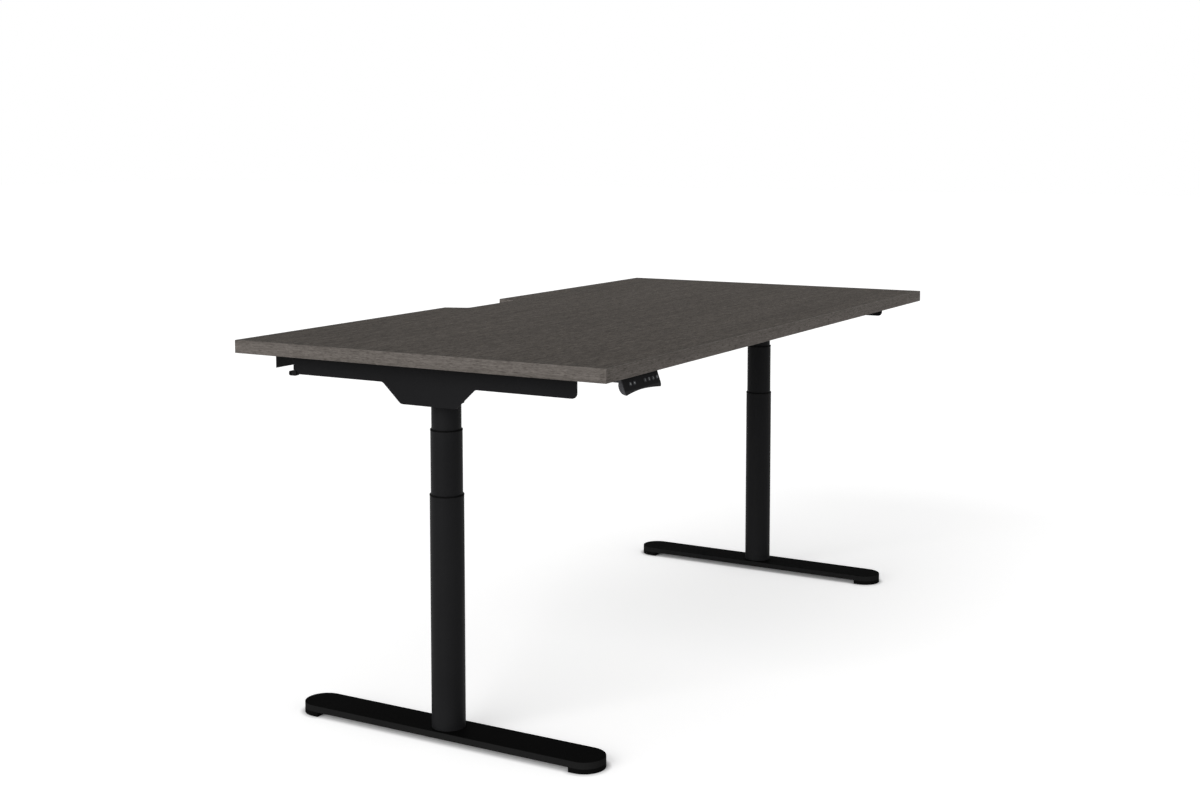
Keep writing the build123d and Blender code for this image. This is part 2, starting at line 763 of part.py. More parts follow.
side_band_x = (desktop_length - band_thickness) / 2
front_band_y = (desktop_depth - band_thickness) / 2
inside_length = desktop_length - 2 * band_thickness
rear_band_depth = notch_depth + 2 * band_thickness
band_boxes = {
    "left": (-side_band_x, 0, band_thickness, desktop_depth),
    "right": (side_band_x, 0, band_thickness, desktop_depth),
    "front": (0, -front_band_y, inside_length, band_thickness),
    "rear": (0, (desktop_depth - rear_band_depth) / 2, inside_length, rear_band_depth),
}
for edge_name, (box_x, box_y, box_length, box_depth) in band_boxes.items():
    with BuildPart() as edge_band:
        with BuildSketch(Plane.XY.offset(underside_z)) as outline:
            desktop_outline()
            round_notch(outline)
        extrude(amount=desktop_thickness)
        top_and_bottom = edge_band.faces().filter_by(Axis.Z)
        fillet([edge for face in top_and_bottom for edge in face.outer_wire().edges()], band_rounding)
        with BuildSketch(Plane.XY.offset(underside_z)) as inside:
            desktop_outline()
            round_notch(inside)
            offset(amount=-band_thickness)
        extrude(amount=desktop_thickness, mode=Mode.SUBTRACT)
        with BuildSketch(Plane.XY.offset(underside_z)):
            with Locations((box_x, box_y)):
                Rectangle(box_length, box_depth)
        extrude(amount=desktop_thickness, mode=Mode.INTERSECT)
    keep(edge_band, f"edge_band_{edge_name}")


# ---------------------------------------------------------------------------
# Cable tray under the rear edge, and cable clips on the brackets
# ---------------------------------------------------------------------------

tray_bottom_z = underside_z - tray_height
tray_rear_y = tray_front_y + tray_depth
trough_relief_x = (tray_length - tray_end_relief) / 2
trough_middle_y = (tray_front_y + tray_sheet + tray_rear_y) / 2

with BuildPart() as cable_tray:
    with BuildSketch(Plane.YZ.offset(-tray_length / 2)):
        with BuildLine():
            Polyline(
                (tray_front_y - tray_flange_width, underside_z),
                (tray_front_y - tray_flange_width, underside_z - tray_sheet),
                (tray_front_y, underside_z - tray_sheet),
                (tray_front_y, tray_bottom_z),
                (tray_rear_y, tray_bottom_z),
                (tray_rear_y, tray_bottom_z + tray_lip_height),
                (tray_rear_y - tray_sheet, tray_bottom_z + tray_lip_height),
                (tray_rear_y - tray_sheet, tray_bottom_z + tray_sheet),
                (tray_front_y + tray_sheet, tray_bottom_z + tray_sheet),
                (tray_front_y + tray_sheet, underside_z),
                close=True,
            )
        make_face()
    extrude(amount=tray_length)
    # The trough ends before the front wall does, so that cables can be led in past each end
    with BuildSketch(Plane.XY.offset(tray_bottom_z)):
        with Locations(*[(end * trough_relief_x, trough_middle_y) for end in (-1, 1)]):
            Rectangle(tray_end_relief, tray_rear_y - tray_front_y - tray_sheet)
    extrude(amount=tray_height, mode=Mode.SUBTRACT)
    with BuildSketch(Plane.XY.offset(tray_seat_z)):
        with Locations(*[(screw_x, tray_screw_y) for screw_x in tray_screw_xs]):
            Circle(wood_screw_diameter / 2 + hole_clearance)
    extrude(amount=tray_sheet, mode=Mode.SUBTRACT)
keep(cable_tray, "cable_tray")

clip_rear_y = bracket_rear_y + clip_overhang
clip_middle_x = bracket_x - sheet_thickness / 2
clip_slot_top_z = bracket_bottom_z + clip_height - clip_wall

with BuildPart() as cable_clips:
    for side_name, side in sides:
        with BuildSketch(Plane.YZ.offset(side * (clip_middle_x - clip_width / 2))) as clip_side:
            with Locations((clip_rear_y - clip_length / 2, clip_slot_top_z - clip_height / 2)):
                RectangleRounded(clip_length, clip_height, clip_wall)
            with Locations((clip_rear_y - clip_overhang / 2, clip_slot_top_z - clip_height / 2)):
                Circle(clip_hole_diameter / 2, mode=Mode.SUBTRACT)
        extrude(amount=side * clip_width)
        with BuildSketch(Plane.XY.offset(bracket_bottom_z)):
            with Locations((side * clip_middle_x, bracket_rear_y - clip_length / 2)):
                Rectangle(sheet_thickness, clip_length)
        extrude(amount=clip_height, mode=Mode.SUBTRACT)
keep(cable_clips, "cable_clips")


# ---------------------------------------------------------------------------
# Control box with its sockets
# ---------------------------------------------------------------------------

control_box_bottom_z = underside_z - control_box_height
control_box_rear_y = control_box_y + control_box_width / 2
socket_z = control_box_bottom_z + control_box_height / 2
socket_xs = [(i - 2) * socket_pitch for i in range(4)]
inlet_x = control_box_length / 2 - socket_pitch

with BuildPart() as control_box:
    with BuildSketch(Plane.XY.offset(control_box_bottom_z)):
        with Locations((0, control_box_y)):
            RectangleRounded(control_box_length, control_box_width, control_box_rounding)
    extrude(amount=control_box_height)
    with BuildSketch(Plane.XY.offset(control_box_seat_z)):
        with Locations((0, control_box_y)):
            RectangleRounded(
                control_box_length + 2 * control_box_ear, 2 * control_box_ear, control_box_rounding
            )
        with Locations((-ear_screw_x, control_box_y), (ear_screw_x, control_box_y)):
            Circle(wood_screw_diameter / 2 + hole_clearance, mode=Mode.SUBTRACT)
    extrude(amount=control_box_ear_thickness)
    with BuildSketch(Plane.XY.offset(control_box_bottom_z + control_box_wall)):
        with Locations((0, control_box_y)):
            RectangleRounded(
                control_box_length - 2 * control_box_wall,
                control_box_width - 2 * control_box_wall,
                control_box_rounding - control_box_wall,
            )
    extrude(amount=control_box_height - control_box_wall, mode=Mode.SUBTRACT)
    with BuildSketch(Plane.XZ.offset(-control_box_rear_y)):
        with Locations(*[(x, socket_z) for x in socket_xs]):
            Rectangle(socket_width, socket_height)
        with Locations((inlet_x, socket_z)):
            Rectangle(inlet_width, inlet_height)
    extrude(amount=control_box_wall, mode=Mode.SUBTRACT)
keep(control_box, "control_box")

with BuildPart() as control_box_sockets:
    for depth, mode in ((socket_depth, Mode.ADD), (socket_depth - socket_wall, Mode.SUBTRACT)):
        wall = 0 if mode == Mode.ADD else socket_wall
        with BuildSketch(Plane.XZ.offset(-control_box_rear_y)):
            with Locations(*[(x, socket_z) for x in socket_xs]):
                Rectangle(socket_width - 2 * wall, socket_height - 2 * wall)
            with Locations((inlet_x, socket_z)):
                Rectangle(inlet_width - 2 * wall, inlet_height - 2 * wall)
        extrude(amount=depth, mode=mode)
keep(control_box_sockets, "control_box_sockets")


# ---------------------------------------------------------------------------
# Handset: a housing with a slanted lip, a face plate and six push buttons
# ---------------------------------------------------------------------------

handset_bottom_z = underside_z - handset_drop
face_slant = degrees(atan2(handset_slant, handset_drop))
face_length = hypot(handset_slant, handset_drop)
face_height = face_length - 2 * face_margin - handset_edge_arch
face_middle = handset_edge_arch / 2
face_plane = Plane(
    origin=(handset_x, (handset_top_y + handset_bottom_y) / 2, underside_z - handset_drop / 2),
    x_dir=(1, 0, 0),
    z_dir=Vector(0, -1, 0).rotate(Axis.X, -face_slant),
)
skirt_top = -face_thickness - button_play
skirt_bottom = skirt_top - button_skirt_thickness
pocket_bottom = skirt_bottom - button_travel - button_spare
buttons = {
    "up": arrow_group_x - button_pitch / 2,
    "down": arrow_group_x + button_pitch / 2,
    "one": number_group_x - 1.5 * button_pitch,
    "two": number_group_x - 0.5 * button_pitch,
    "three": number_group_x + 0.5 * button_pitch,
    "save": number_group_x + 1.5 * button_pitch,
}
button_places = [(button_x, face_middle) for button_x in buttons.values()]
press_axis = Axis(face_plane.origin, face_plane.z_dir)


def button_profile(growth):
    """Draw a button's outline, grown all round, in the sketch that is open."""
    RectangleRounded(button_width + 2 * growth, button_height + 2 * growth, button_rounding + growth)


with BuildPart() as handset_housing:
    with BuildSketch(Plane.YZ.offset(handset_x - handset_length / 2)):
        with BuildLine():
            Line((handset_top_y, underside_z), (handset_bottom_y, handset_bottom_z))
            SagittaArc(
                (handset_bottom_y, handset_bottom_z),
                (handset_bottom_y + handset_lip_reach, underside_z - handset_body_height),
                -handset_lip_bulge,
            )
            Polyline(
                (handset_bottom_y + handset_lip_reach, underside_z - handset_body_height),
                (handset_rear_y, underside_z - handset_body_height),
                (handset_rear_y, underside_z),
                (handset_top_y, underside_z),
            )
        make_face()
    extrude(amount=handset_length)
    with BuildSketch(face_plane) as lip_outline:
        with Locations((0, handset_body_depth - face_length / 2)):
            Rectangle(handset_length, 2 * handset_body_depth)
        fillet(lip_outline.vertices().group_by(Axis.Y)[0], handset_corner_radius)
        with BuildSketch(mode=Mode.PRIVATE) as arch:
            with BuildLine():
                ThreePointArc(
                    (-handset_length / 2, -face_length / 2),
                    (0, handset_edge_arch - face_length / 2),
                    (handset_length / 2, -face_length / 2),
                )
                Line((handset_length / 2, -face_length / 2), (-handset_length / 2, -face_length / 2))
            make_face()
        add(arch.sketch, mode=Mode.SUBTRACT)
    extrude(amount=2 * handset_body_depth, both=True, mode=Mode.INTERSECT)
    with BuildSketch(face_plane):
        with Locations((0, face_middle)):
            RectangleRounded(handset_length - 2 * face_margin, face_height, face_corner_radius)
    extrude(amount=-face_thickness, mode=Mode.SUBTRACT)
    with BuildSketch(face_plane):
        with Locations(*button_places):
            button_profile(button_skirt + button_gap)
    extrude(amount=pocket_bottom, mode=Mode.SUBTRACT)
    screw_xs = (handset_x - handset_screw_reach, handset_x + handset_screw_reach)
    with BuildSketch(Plane.XY.offset(underside_z - handset_body_height)):
        with Locations(*[(screw_x, handset_screw_y) for screw_x in screw_xs]):
            Circle(wood_screw_head_diameter / 2 + sliding_gap)
    extrude(amount=handset_body_height - handset_screw_floor, mode=Mode.SUBTRACT)
    with BuildSketch(Plane.XY.offset(handset_seat_z)):
        with Locations(*[(screw_x, handset_screw_y) for screw_x in screw_xs]):
            Circle(wood_screw_diameter / 2 + hole_clearance)
    extrude(amount=handset_screw_floor, mode=Mode.SUBTRACT)
keep(handset_housing, "handset_housing")

with BuildPart() as handset_face:
    with BuildSketch(face_plane):
        with Locations((0, face_middle)):
            RectangleRounded(handset_length - 2 * face_margin, face_height, face_corner_radius)
        with Locations(*button_places):
            RectangleRounded(
                button_width + 2 * button_gap,
                button_height + 2 * button_gap,
                button_rounding + button_gap,
                mode=Mode.SUBTRACT,
            )
    extrude(amount=-face_thickness)
keep(handset_face, "handset_face")

for button_name, place in zip(buttons, button_places):
    with BuildPart() as button:
        with BuildSketch(face_plane.offset(skirt_bottom)):
            with Locations(place):
                button_profile(0)
        extrude(amount=button_proud - skirt_bottom)
        fillet(button.faces().sort_by(press_axis)[-1].edges(), button_proud / 2)
        with BuildSketch(face_plane.offset(skirt_bottom)):
            with Locations(place):
                button_profile(button_skirt)
        extrude(amount=button_skirt_thickness)
    keep(button, f"button_{button_name}")
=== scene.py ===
"""Finishes and small fittings of a height adjustable desk, laid out as a Blender add-on.

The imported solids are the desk's main shapes. The operators here give each of them its
finish and add the fittings that the solids leave out. Sizes are in metres.
"""

import json
import math

import bmesh
import bpy
from bpy.props import FloatProperty, FloatVectorProperty, IntProperty, PointerProperty
from bpy.types import Operator, Panel, PropertyGroup
from mathutils import Matrix, Vector


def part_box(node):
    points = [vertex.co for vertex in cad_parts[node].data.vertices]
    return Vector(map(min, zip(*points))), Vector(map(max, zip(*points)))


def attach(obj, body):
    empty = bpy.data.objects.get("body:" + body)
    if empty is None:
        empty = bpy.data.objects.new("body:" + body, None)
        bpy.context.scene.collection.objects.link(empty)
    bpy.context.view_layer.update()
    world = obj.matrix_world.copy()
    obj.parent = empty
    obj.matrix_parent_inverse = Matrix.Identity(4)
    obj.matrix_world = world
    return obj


bl_info = {
    "name": "Height Adjustable Desk",
    "version": (1, 0, 0),
    "blender": (4, 5, 0),
    "location": "View3D > Sidebar > Desk",
    "description": "Finishes and small fittings of a height adjustable desk",
    "category": "Add Mesh",
}

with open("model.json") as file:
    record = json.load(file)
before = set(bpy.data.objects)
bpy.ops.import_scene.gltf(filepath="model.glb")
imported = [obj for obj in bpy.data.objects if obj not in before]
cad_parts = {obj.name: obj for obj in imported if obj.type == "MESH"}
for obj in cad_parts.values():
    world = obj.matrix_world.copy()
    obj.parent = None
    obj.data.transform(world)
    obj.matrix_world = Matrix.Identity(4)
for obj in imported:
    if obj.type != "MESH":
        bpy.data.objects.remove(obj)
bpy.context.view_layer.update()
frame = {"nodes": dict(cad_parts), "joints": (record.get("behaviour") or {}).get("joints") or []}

SIDES = ("left", "right")
BUTTONS = ("up", "down", "one", "two", "three", "save")
MILLIMETRE = 0.001


def linear(red, green, blue):
    """A colour given as display values from 0 to 255, in the linear values that shaders use."""
    shares = (value / 255 for value in (red, green, blue))
    return tuple(v / 12.92 if v <= 0.04045 else ((v + 0.055) / 1.055) ** 2.4 for v in shares)


# ---------------------------------------------------------------------------
# Settings
# ---------------------------------------------------------------------------


def colour_setting(name, description, display_values):
    """A colour that a user can change, with its default as display values."""
    return FloatVectorProperty(
        name=name,
        description=description,
        default=linear(*display_values),
        min=0,
        max=1,
        subtype="COLOR",
    )


def length_setting(name, description, millimetres):
    """A length that a user can change, with its default in millimetres."""
    return FloatProperty(
        name=name,
        description=description,
        default=millimetres * MILLIMETRE,
        min=0,
        unit="LENGTH",
        subtype="DISTANCE",
    )


def number_setting(name, description, default):
    """A plain number that a user can change."""
    return FloatProperty(name=name, description=description, default=default, min=0)


def angle_setting(name, description, degrees):
    """An angle that a user can change, with its default in degrees."""
    return FloatProperty(
        name=name, description=description, default=math.radians(degrees), subtype="ANGLE"
    )


class DeskFinishSettings(PropertyGroup):
    """Colours and textures of the desk's parts."""

    grain_dark: colour_setting("Grain dark", "Darkest lines of the wood decor", (49, 45, 41))
    grain_middle: colour_setting("Grain middle", "Main tone of the wood decor", (69, 64, 60))
    grain_light: colour_setting("Grain light", "Palest lines of the wood decor", (85, 80, 75))
    # Painted light: the edge bands carry the same decor as the top, drawn paler than the top's
    # tones as the light that falls on their sides.
    band_dark: colour_setting("Band dark", "Darkest lines of the edge bands", (62, 58, 54))
    band_middle: colour_setting("Band middle", "Main tone of the edge bands", (87, 82, 78))
    band_light: colour_setting("Band light", "Palest lines of the edge bands", (104, 99, 95))
    coat: colour_setting("Powder coat", "Colour of the coated steel", (23, 23, 24))
    # Painted shade and light on the feet: their tops are painted darker than the coat elsewhere, as
    # the shade under the desktop, and their sides paler than their tops, as light from the side.
    foot_coat_painted_shade: colour_setting("Foot coat", "Colour of the top of the coated feet", (10, 10, 10))
    foot_side_painted_light: colour_setting("Foot side", "Colour of the scuffed sides of the feet", (27, 27, 27))
    tray_coat: colour_setting("Tray coat", "Colour of the coated cable tray", (36, 36, 36))
    plastic: colour_setting("Plastic", "Colour of the moulded parts", (22, 22, 23))
    rubber: colour_setting("Rubber", "Colour of the foot pads and the glide rings", (12, 12, 12))
    button: colour_setting("Button", "Colour of the push buttons", (52, 53, 55))
    mark: colour_setting("Mark", "Colour of the marks on the buttons", (150, 152, 154))
    steel: colour_setting("Steel", "Colour of the bare steel", (168, 170, 172))
    bolt: colour_setting("Bolt", "Colour of the blackened bolts", (52, 52, 54))
    casting: colour_setting("Casting", "Colour of the cast gear housings", (74, 76, 78))
    acetal: colour_setting("Acetal", "Colour of the nuts, wheels and discs inside", (214, 210, 198))
    wear: FloatProperty(
        name="Edge wear",
        description="How far the coat is rubbed along its edges",
        default=0.28,
        min=0,
        max=1,
        subtype="FACTOR",
    )
    peel: length_setting("Peel", "Size of the ripples in the powder coat", 0.7)
    fibre: length_setting("Fibre", "Width of the finest lines in the wood decor", 0.9)
    mottle: number_setting("Mottle", "How strongly the wood decor varies in tone", 1.85)
    band_mottle: number_setting("Band mottle", "The edge bands' share of that", 0.45)


class DeskFittingSettings(PropertyGroup):
    """Sizes of the fittings that the solids leave out."""

    mark_height: length_setting("Mark height", "Height of the marks on the buttons", 3.6)
    mark_thickness: length_setting("Mark thickness", "Thickness of the raised marks", 0.12)
    bead_radius: length_setting("Weld bead", "Radius of the weld bead round the top tube", 1.8)
    bead_pitch: length_setting("Weld pitch", "Distance between the ripples of a weld", 3.4)
    screw_head: length_setting("Screw head", "Diameter of the motor and cover screws", 5.5)
    screw_height: length_setting("Screw height", "Height of the motor and cover screw heads", 2.0)
    rib_length: length_setting("Rib length", "Length of a cooling rib on the control box", 46)
    rib_width: length_setting("Rib width", "Width of a cooling rib", 2.4)
    rib_height: length_setting("Rib height", "Height of a cooling rib", 1.2)
    rib_pitch: length_setting("Rib pitch", "Distance between the cooling ribs", 6.5)
    rib_count: IntProperty(
        name="Ribs", description="Cooling ribs on the control box", default=13, min=1
    )
    hem_radius: length_setting("Hem", "Radius of the rolled edge on the tray's lip", 1.4)
    hem_setback: length_setting("Hem setback", "How much shorter each end of the trough is", 65)


class DeskStageSettings(PropertyGroup):
    """Floor, light and camera."""

    floor: colour_setting("Floor", "Colour of the floor", (236, 236, 236))
    floor_lift: number_setting("Floor lift", "Light that the floor adds for the camera", 0.45)
    # The contact settings shape the painted shadow on the floor round each piece.
    contact_reach: length_setting("Contact reach", "How near a piece darkens the floor", 12)
    contact_depth: number_setting("Contact depth", "How dark the floor is there", 3.5)
    sky: number_setting("Sky", "Strength of the even light from all round", 0.45)
    side_light: number_setting("Side light", "Strength of the light from the desk's left", 2.6)
    side_turn: angle_setting("Side turn", "How far the side light stands towards the front", -6)
    side_height: angle_setting("Side height", "Angle of the side light above the floor", 20)
    front_light: number_setting("Front light", "Strength of the light from the front", 0.55)
    front_turn: angle_setting("Front turn", "Angle from the desk's left to the front light", 80)
    front_height: angle_setting("Front height", "Angle of the front light above the floor", 14)
    spread: angle_setting("Spread", "How wide each soft light is, seen from the desk", 50)
    camera_place: FloatVectorProperty(
        name="Camera place",
        description="Where the camera stands",
        default=(-3.1176, -1.6977, 1.0991),
        subtype="XYZ",
        unit="LENGTH",
    )
    camera_turn: angle_setting("Camera turn", "Angle of the view from the desk's depth", 60.5352)
    camera_dip: angle_setting("Camera dip", "Angle of the view below level", 4.8982)
    focal_length: FloatProperty(
        name="Focal length", description="Focal length in millimetres", default=49.0046, min=1
    )
    lens_shift: FloatProperty(
        name="Lens shift", description="Vertical shift as a share of the sensor", default=-0.1
    )


# ---------------------------------------------------------------------------
# Shader node helpers
# ---------------------------------------------------------------------------


def add_node(tree, kind, sockets=(), **options):
    """Add a shader node, set its options, and set or link the given inputs."""
    made = tree.nodes.new(kind)
    for option, value in options.items():
        setattr(made, option, value)
    for key, value in dict(sockets).items():
        if isinstance(value, bpy.types.NodeSocket):
            tree.links.new(value, made.inputs[key])
        else:
            made.inputs[key].default_value = value
    return made


def paler(colour, times):
    """A colour so many times as bright, and no brighter than white."""
    return [min(1.0, value * times) for value in colour]


def opaque(colour):
    """A colour with full alpha, as a colour socket takes it."""
    return (*colour[:3], 1)


def noise(tree, vector, scale, detail=2.0, roughness=0.5, distortion=0.0):
    """A noise value that averages a half."""
    sockets = {
        "Vector": vector,
        "Scale": scale,
        "Detail": detail,
        "Roughness": roughness,
        "Distortion": distortion,
    }
    return add_node(tree, "ShaderNodeTexNoise", sockets).outputs[0]


def stretch(tree, vector, scale, place=(0, 0, 0)):
    """Coordinates moved and scaled along each axis."""
    sockets = {"Vector": vector, "Location": place, "Scale": scale}
    return add_node(tree, "ShaderNodeMapping", sockets).outputs[0]


def grain(tree, place, along, across, shift=(0, 0, 0), **look):
    """Noise with one scale along X, where the grain runs, and another across it."""
    return noise(tree, stretch(tree, place, (along, across, across), shift), **look)


def remap(tree, value, old, new):
    """A value carried from an old range to a new one, and held inside it."""
    sockets = dict(enumerate((value, *old, *new)))
    return add_node(tree, "ShaderNodeMapRange", sockets).outputs[0]


def calculate(tree, operation, *numbers):
    """The sum, product or other result of two or more numbers, from left to right."""
    result, *others = numbers
    for other in others:
        sockets = {0: result, 1: other}
        result = add_node(tree, "ShaderNodeMath", sockets, operation=operation).outputs[0]
    return result


def blend_colours(tree, share, first, second):
    """The first colour, turning into the second by the given share."""
    sockets = {0: share, 6: first, 7: second}
    return add_node(tree, "ShaderNodeMix", sockets, data_type="RGBA").outputs[2]


def shade(tree, colour, tone):
    """A colour made lighter or darker by a number."""
    sockets = {0: colour, "Scale": tone}
    return add_node(tree, "ShaderNodeVectorMath", sockets, operation="SCALE").outputs[0]


def new_group(name, inputs, outputs):
    """A shader node group with the given sockets, and its inner input and output nodes."""
    group = bpy.data.node_groups.new(name, "ShaderNodeTree")
    kinds = {"value": "NodeSocketFloat", "colour": "NodeSocketColor", "vector": "NodeSocketVector"}
    for socket_name, kind in inputs:
        group.interface.new_socket(socket_name, in_out="INPUT", socket_type=kinds[kind])
    for socket_name, kind in outputs:
        group.interface.new_socket(socket_name, in_out="OUTPUT", socket_type=kinds[kind])
    return group, group.nodes.new("NodeGroupInput"), group.nodes.new("NodeGroupOutput")


def surface_outputs(group, leave, colour, roughness, height):
    """Link the three results that every surface group gives."""
    group.links.new(colour, leave.inputs["Colour"])
    group.links.new(roughness, leave.inputs["Roughness"])
    group.links.new(height, leave.inputs["Height"])


SURFACE_OUTPUTS = (("Colour", "colour"), ("Roughness", "value"), ("Height", "value"))
# Where most values of a noise lie, where nearly all of them lie, and the range of a mask.
USUAL = (0.3, 0.7)
WHOLE = (0.25, 0.75)
MASK = (0.0, 1.0)
# Width in millimetres of the strip along an edge that is rubbed. On the handset's face and buttons
# the same strip is a painted highlight.
EDGE_WIDTH = 0.9
# A face looks along an axis from this share of its normal, and turns to it over this range.
FACES_X = 0.6
TURNS_TO_AXIS = (0.2, 0.8)


def powder_coat_group():
    """Baked powder coat: fine ripples, an uneven gloss and a faint mottle."""
    inputs = (("Vector", "vector"), ("Colour", "colour"), ("Ripples", "value"), ("Gloss", "value"))
    group, enter, leave = new_group("Powder coat", inputs, SURFACE_OUTPUTS)
    place = enter.outputs["Vector"]
    ripple = noise(group, place, enter.outputs["Ripples"], detail=3.0, roughness=0.55)
    drift = noise(group, place, 6.0, detail=3.0, roughness=0.6)
    speck = remap(group, noise(group, place, 900.0, detail=1.0), (0.66, 0.74), (0.0, 0.5))
    rippled = remap(group, ripple, USUAL, (0.82, 1.2))
    clouded = remap(group, drift, USUAL, (0.9, 1.12))
    tone = calculate(group, "ADD", calculate(group, "MULTIPLY", rippled, clouded), speck)
    colour = shade(group, enter.outputs["Colour"], tone)
    uneven = remap(group, drift, WHOLE, (-0.07, 0.07))
    sparkle = remap(group, ripple, USUAL, (-0.05, 0.05))
    roughness = calculate(group, "ADD", enter.outputs["Gloss"], uneven, sparkle)
    surface_outputs(group, leave, colour, roughness, ripple)
    return group


def edge_wear_group():
    """A mask of the outer edges that hands and shoes rub, broken up by noise. On the handset it
    also places painted highlights, and the dark rim round a painted highlight.
    """
    inputs = (("Vector", "vector"), ("Amount", "value"), ("Width", "value"))
    group, enter, leave = new_group("Edge wear", inputs, (("Mask", "value"),))
    rounded = add_node(group, "ShaderNodeBevel", {"Radius": enter.outputs["Width"]}, samples=4)
    flat = add_node(group, "ShaderNodeNewGeometry")
    sockets = {0: rounded.outputs[0], 1: flat.outputs["Normal"]}
    agree = add_node(group, "ShaderNodeVectorMath", sockets, operation="DOT_PRODUCT")
    edge = remap(group, agree.outputs["Value"], (0.97, 0.8), MASK)
    patches = noise(group, enter.outputs["Vector"], 60.0, detail=4.0)
    rubbed = remap(group, patches, (0.42, 0.62), (0.15, 1.0))
    mask = calculate(group, "MULTIPLY", edge, rubbed, enter.outputs["Amount"])
    group.links.new(mask, leave.inputs["Mask"])
    return group


def wood_decor_group():
    """Printed wood decor with its grain along X: broad bands, fine fibres and short pores."""
    inputs = (
        ("Vector", "vector"),
        ("Dark", "colour"),
        ("Middle", "colour"),
        ("Light", "colour"),
        ("Fibres", "value"),
        ("Mottle", "value"),
    )
    group, enter, leave = new_group("Wood decor", inputs, SURFACE_OUTPUTS)
    place = enter.outputs["Vector"]
    mottle = enter.outputs["Mottle"]
    broad = grain(group, place, 1.1, 13.0, scale=1.0, detail=4.0, distortion=0.5)
    band = grain(
        group, place, 3.0, 90.0, (3.1, 1.7, 0.4),
        scale=1.0, detail=3.0, roughness=0.6, distortion=0.35,
    )
    fine = grain(
        group, place, 0.035, 1.0, scale=enter.outputs["Fibres"], detail=3.0, roughness=0.65
    )
    weave = grain(group, place, 0.4, 1.0, (7.0, 2.0, 5.0), scale=400.0, detail=3.0, roughness=0.7)
    figure = grain(group, place, 0.3, 1.0, (2.0, 8.0, 3.0), scale=105.0, detail=4.0, roughness=0.8)
    pores = grain(group, place, 0.14, 1.0, (1.3, 4.1, 2.2), scale=520.0, detail=1.0)
    hair = grain(group, place, 0.03, 1.0, (4.0, 6.0, 1.0), scale=3200.0, roughness=0.6)
    pore = remap(group, pores, (0.56, 0.68), MASK)
    pale = remap(group, fine, (0.36, 0.62), MASK)
    body = blend_colours(group, pale, enter.outputs["Middle"], enter.outputs["Light"])
    shadowed = remap(group, band, (0.34, 0.6), (0.34, 0.0))
    body = blend_colours(group, shadowed, body, enter.outputs["Dark"])
    body = shade(group, body, remap(group, broad, USUAL, (0.94, 1.06)))
    uneven = calculate(group, "MULTIPLY", calculate(group, "ADD", weave, figure), mottle)
    even = calculate(group, "SUBTRACT", 1.0, mottle)
    body = shade(group, body, calculate(group, "ADD", uneven, even))
    body = shade(group, body, remap(group, hair, USUAL, (0.84, 1.16)))
    sunk = calculate(group, "MULTIPLY", pore, 0.6)
    body = blend_colours(group, sunk, body, enter.outputs["Dark"])
    worn = remap(group, fine, USUAL, (0.5, 0.58))
    roughness = calculate(group, "ADD", worn, remap(group, pore, MASK, (0.0, 0.12)))
    relief = calculate(group, "ADD", calculate(group, "MULTIPLY", hair, 0.4), fine)
    relief = calculate(group, "SUBTRACT", relief, sunk)
    surface_outputs(group, leave, body, roughness, relief)
    return group


def moulded_plastic_group():
    """Moulded plastic with the fine spark texture of its mould and slight flow marks."""
    inputs = (("Vector", "vector"), ("Colour", "colour"), ("Texture", "value"), ("Gloss", "value"))
    group, enter, leave = new_group("Moulded plastic", inputs, SURFACE_OUTPUTS)
    place = enter.outputs["Vector"]
    spark = noise(group, place, enter.outputs["Texture"], detail=2.0, roughness=0.7)
    flow = grain(group, place, 6.0, 22.0, scale=1.0, detail=3.0, distortion=0.8)
    speckled = remap(group, spark, USUAL, (0.86, 1.16))
    streaked = remap(group, flow, USUAL, (0.92, 1.1))
    tone = calculate(group, "MULTIPLY", speckled, streaked)
    colour = shade(group, enter.outputs["Colour"], tone)
    uneven = remap(group, flow, WHOLE, (-0.06, 0.06))
    roughness = calculate(group, "ADD", enter.outputs["Gloss"], uneven)
    surface_outputs(group, leave, colour, roughness, spark)
    return group


def turned_metal_group():
    """Machined metal: fine rings along Z, cloudy tarnish and small pits."""
    inputs = (("Vector", "vector"), ("Colour", "colour"), ("Rings", "value"), ("Gloss", "value"))
    group, enter, leave = new_group("Turned metal", inputs, SURFACE_OUTPUTS)
    place = enter.outputs["Vector"]
    turned = stretch(group, place, (0.04, 0.04, 1.0))
    ring = noise(group, turned, enter.outputs["Rings"], roughness=0.6)
    cloud = noise(group, place, 30.0, detail=4.0, roughness=0.6)
    pit = remap(group, noise(group, place, 1100.0, detail=1.0), (0.68, 0.76), (0.0, 0.25))
    ringed = remap(group, ring, USUAL, (0.84, 1.1))
    clouded = remap(group, cloud, USUAL, (0.86, 1.08))
    tone = calculate(group, "SUBTRACT", calculate(group, "MULTIPLY", ringed, clouded), pit)
    colour = shade(group, enter.outputs["Colour"], tone)
    tarnish = remap(group, cloud, USUAL, (-0.07, 0.09))
    roughness = calculate(group, "ADD", enter.outputs["Gloss"], tarnish)
    surface_outputs(group, leave, colour, roughness, ring)
    return group


def surface_group(name):
    """The node group of that name, built the first time it is asked for."""
    builders = {
        "Powder coat": powder_coat_group,
        "Edge wear": edge_wear_group,
        "Wood decor": wood_decor_group,
        "Moulded plastic": moulded_plastic_group,
        "Turned metal": turned_metal_group,
    }
    return bpy.data.node_groups.get(name) or builders[name]()


def place_group(tree, name, sockets):
    """A node group inside a material, with its inputs set."""
    return add_node(tree, "ShaderNodeGroup", sockets, node_tree=surface_group(name))


def facing(tree, axis):
    """How far a face looks along an axis, either way, from 0 to 1."""
    normal = tree.nodes.new("ShaderNodeNewGeometry").outputs["Normal"]
    share = add_node(tree, "ShaderNodeSeparateXYZ", {0: normal}).outputs[axis]
    return calculate(tree, "ABSOLUTE", share, 0.0)


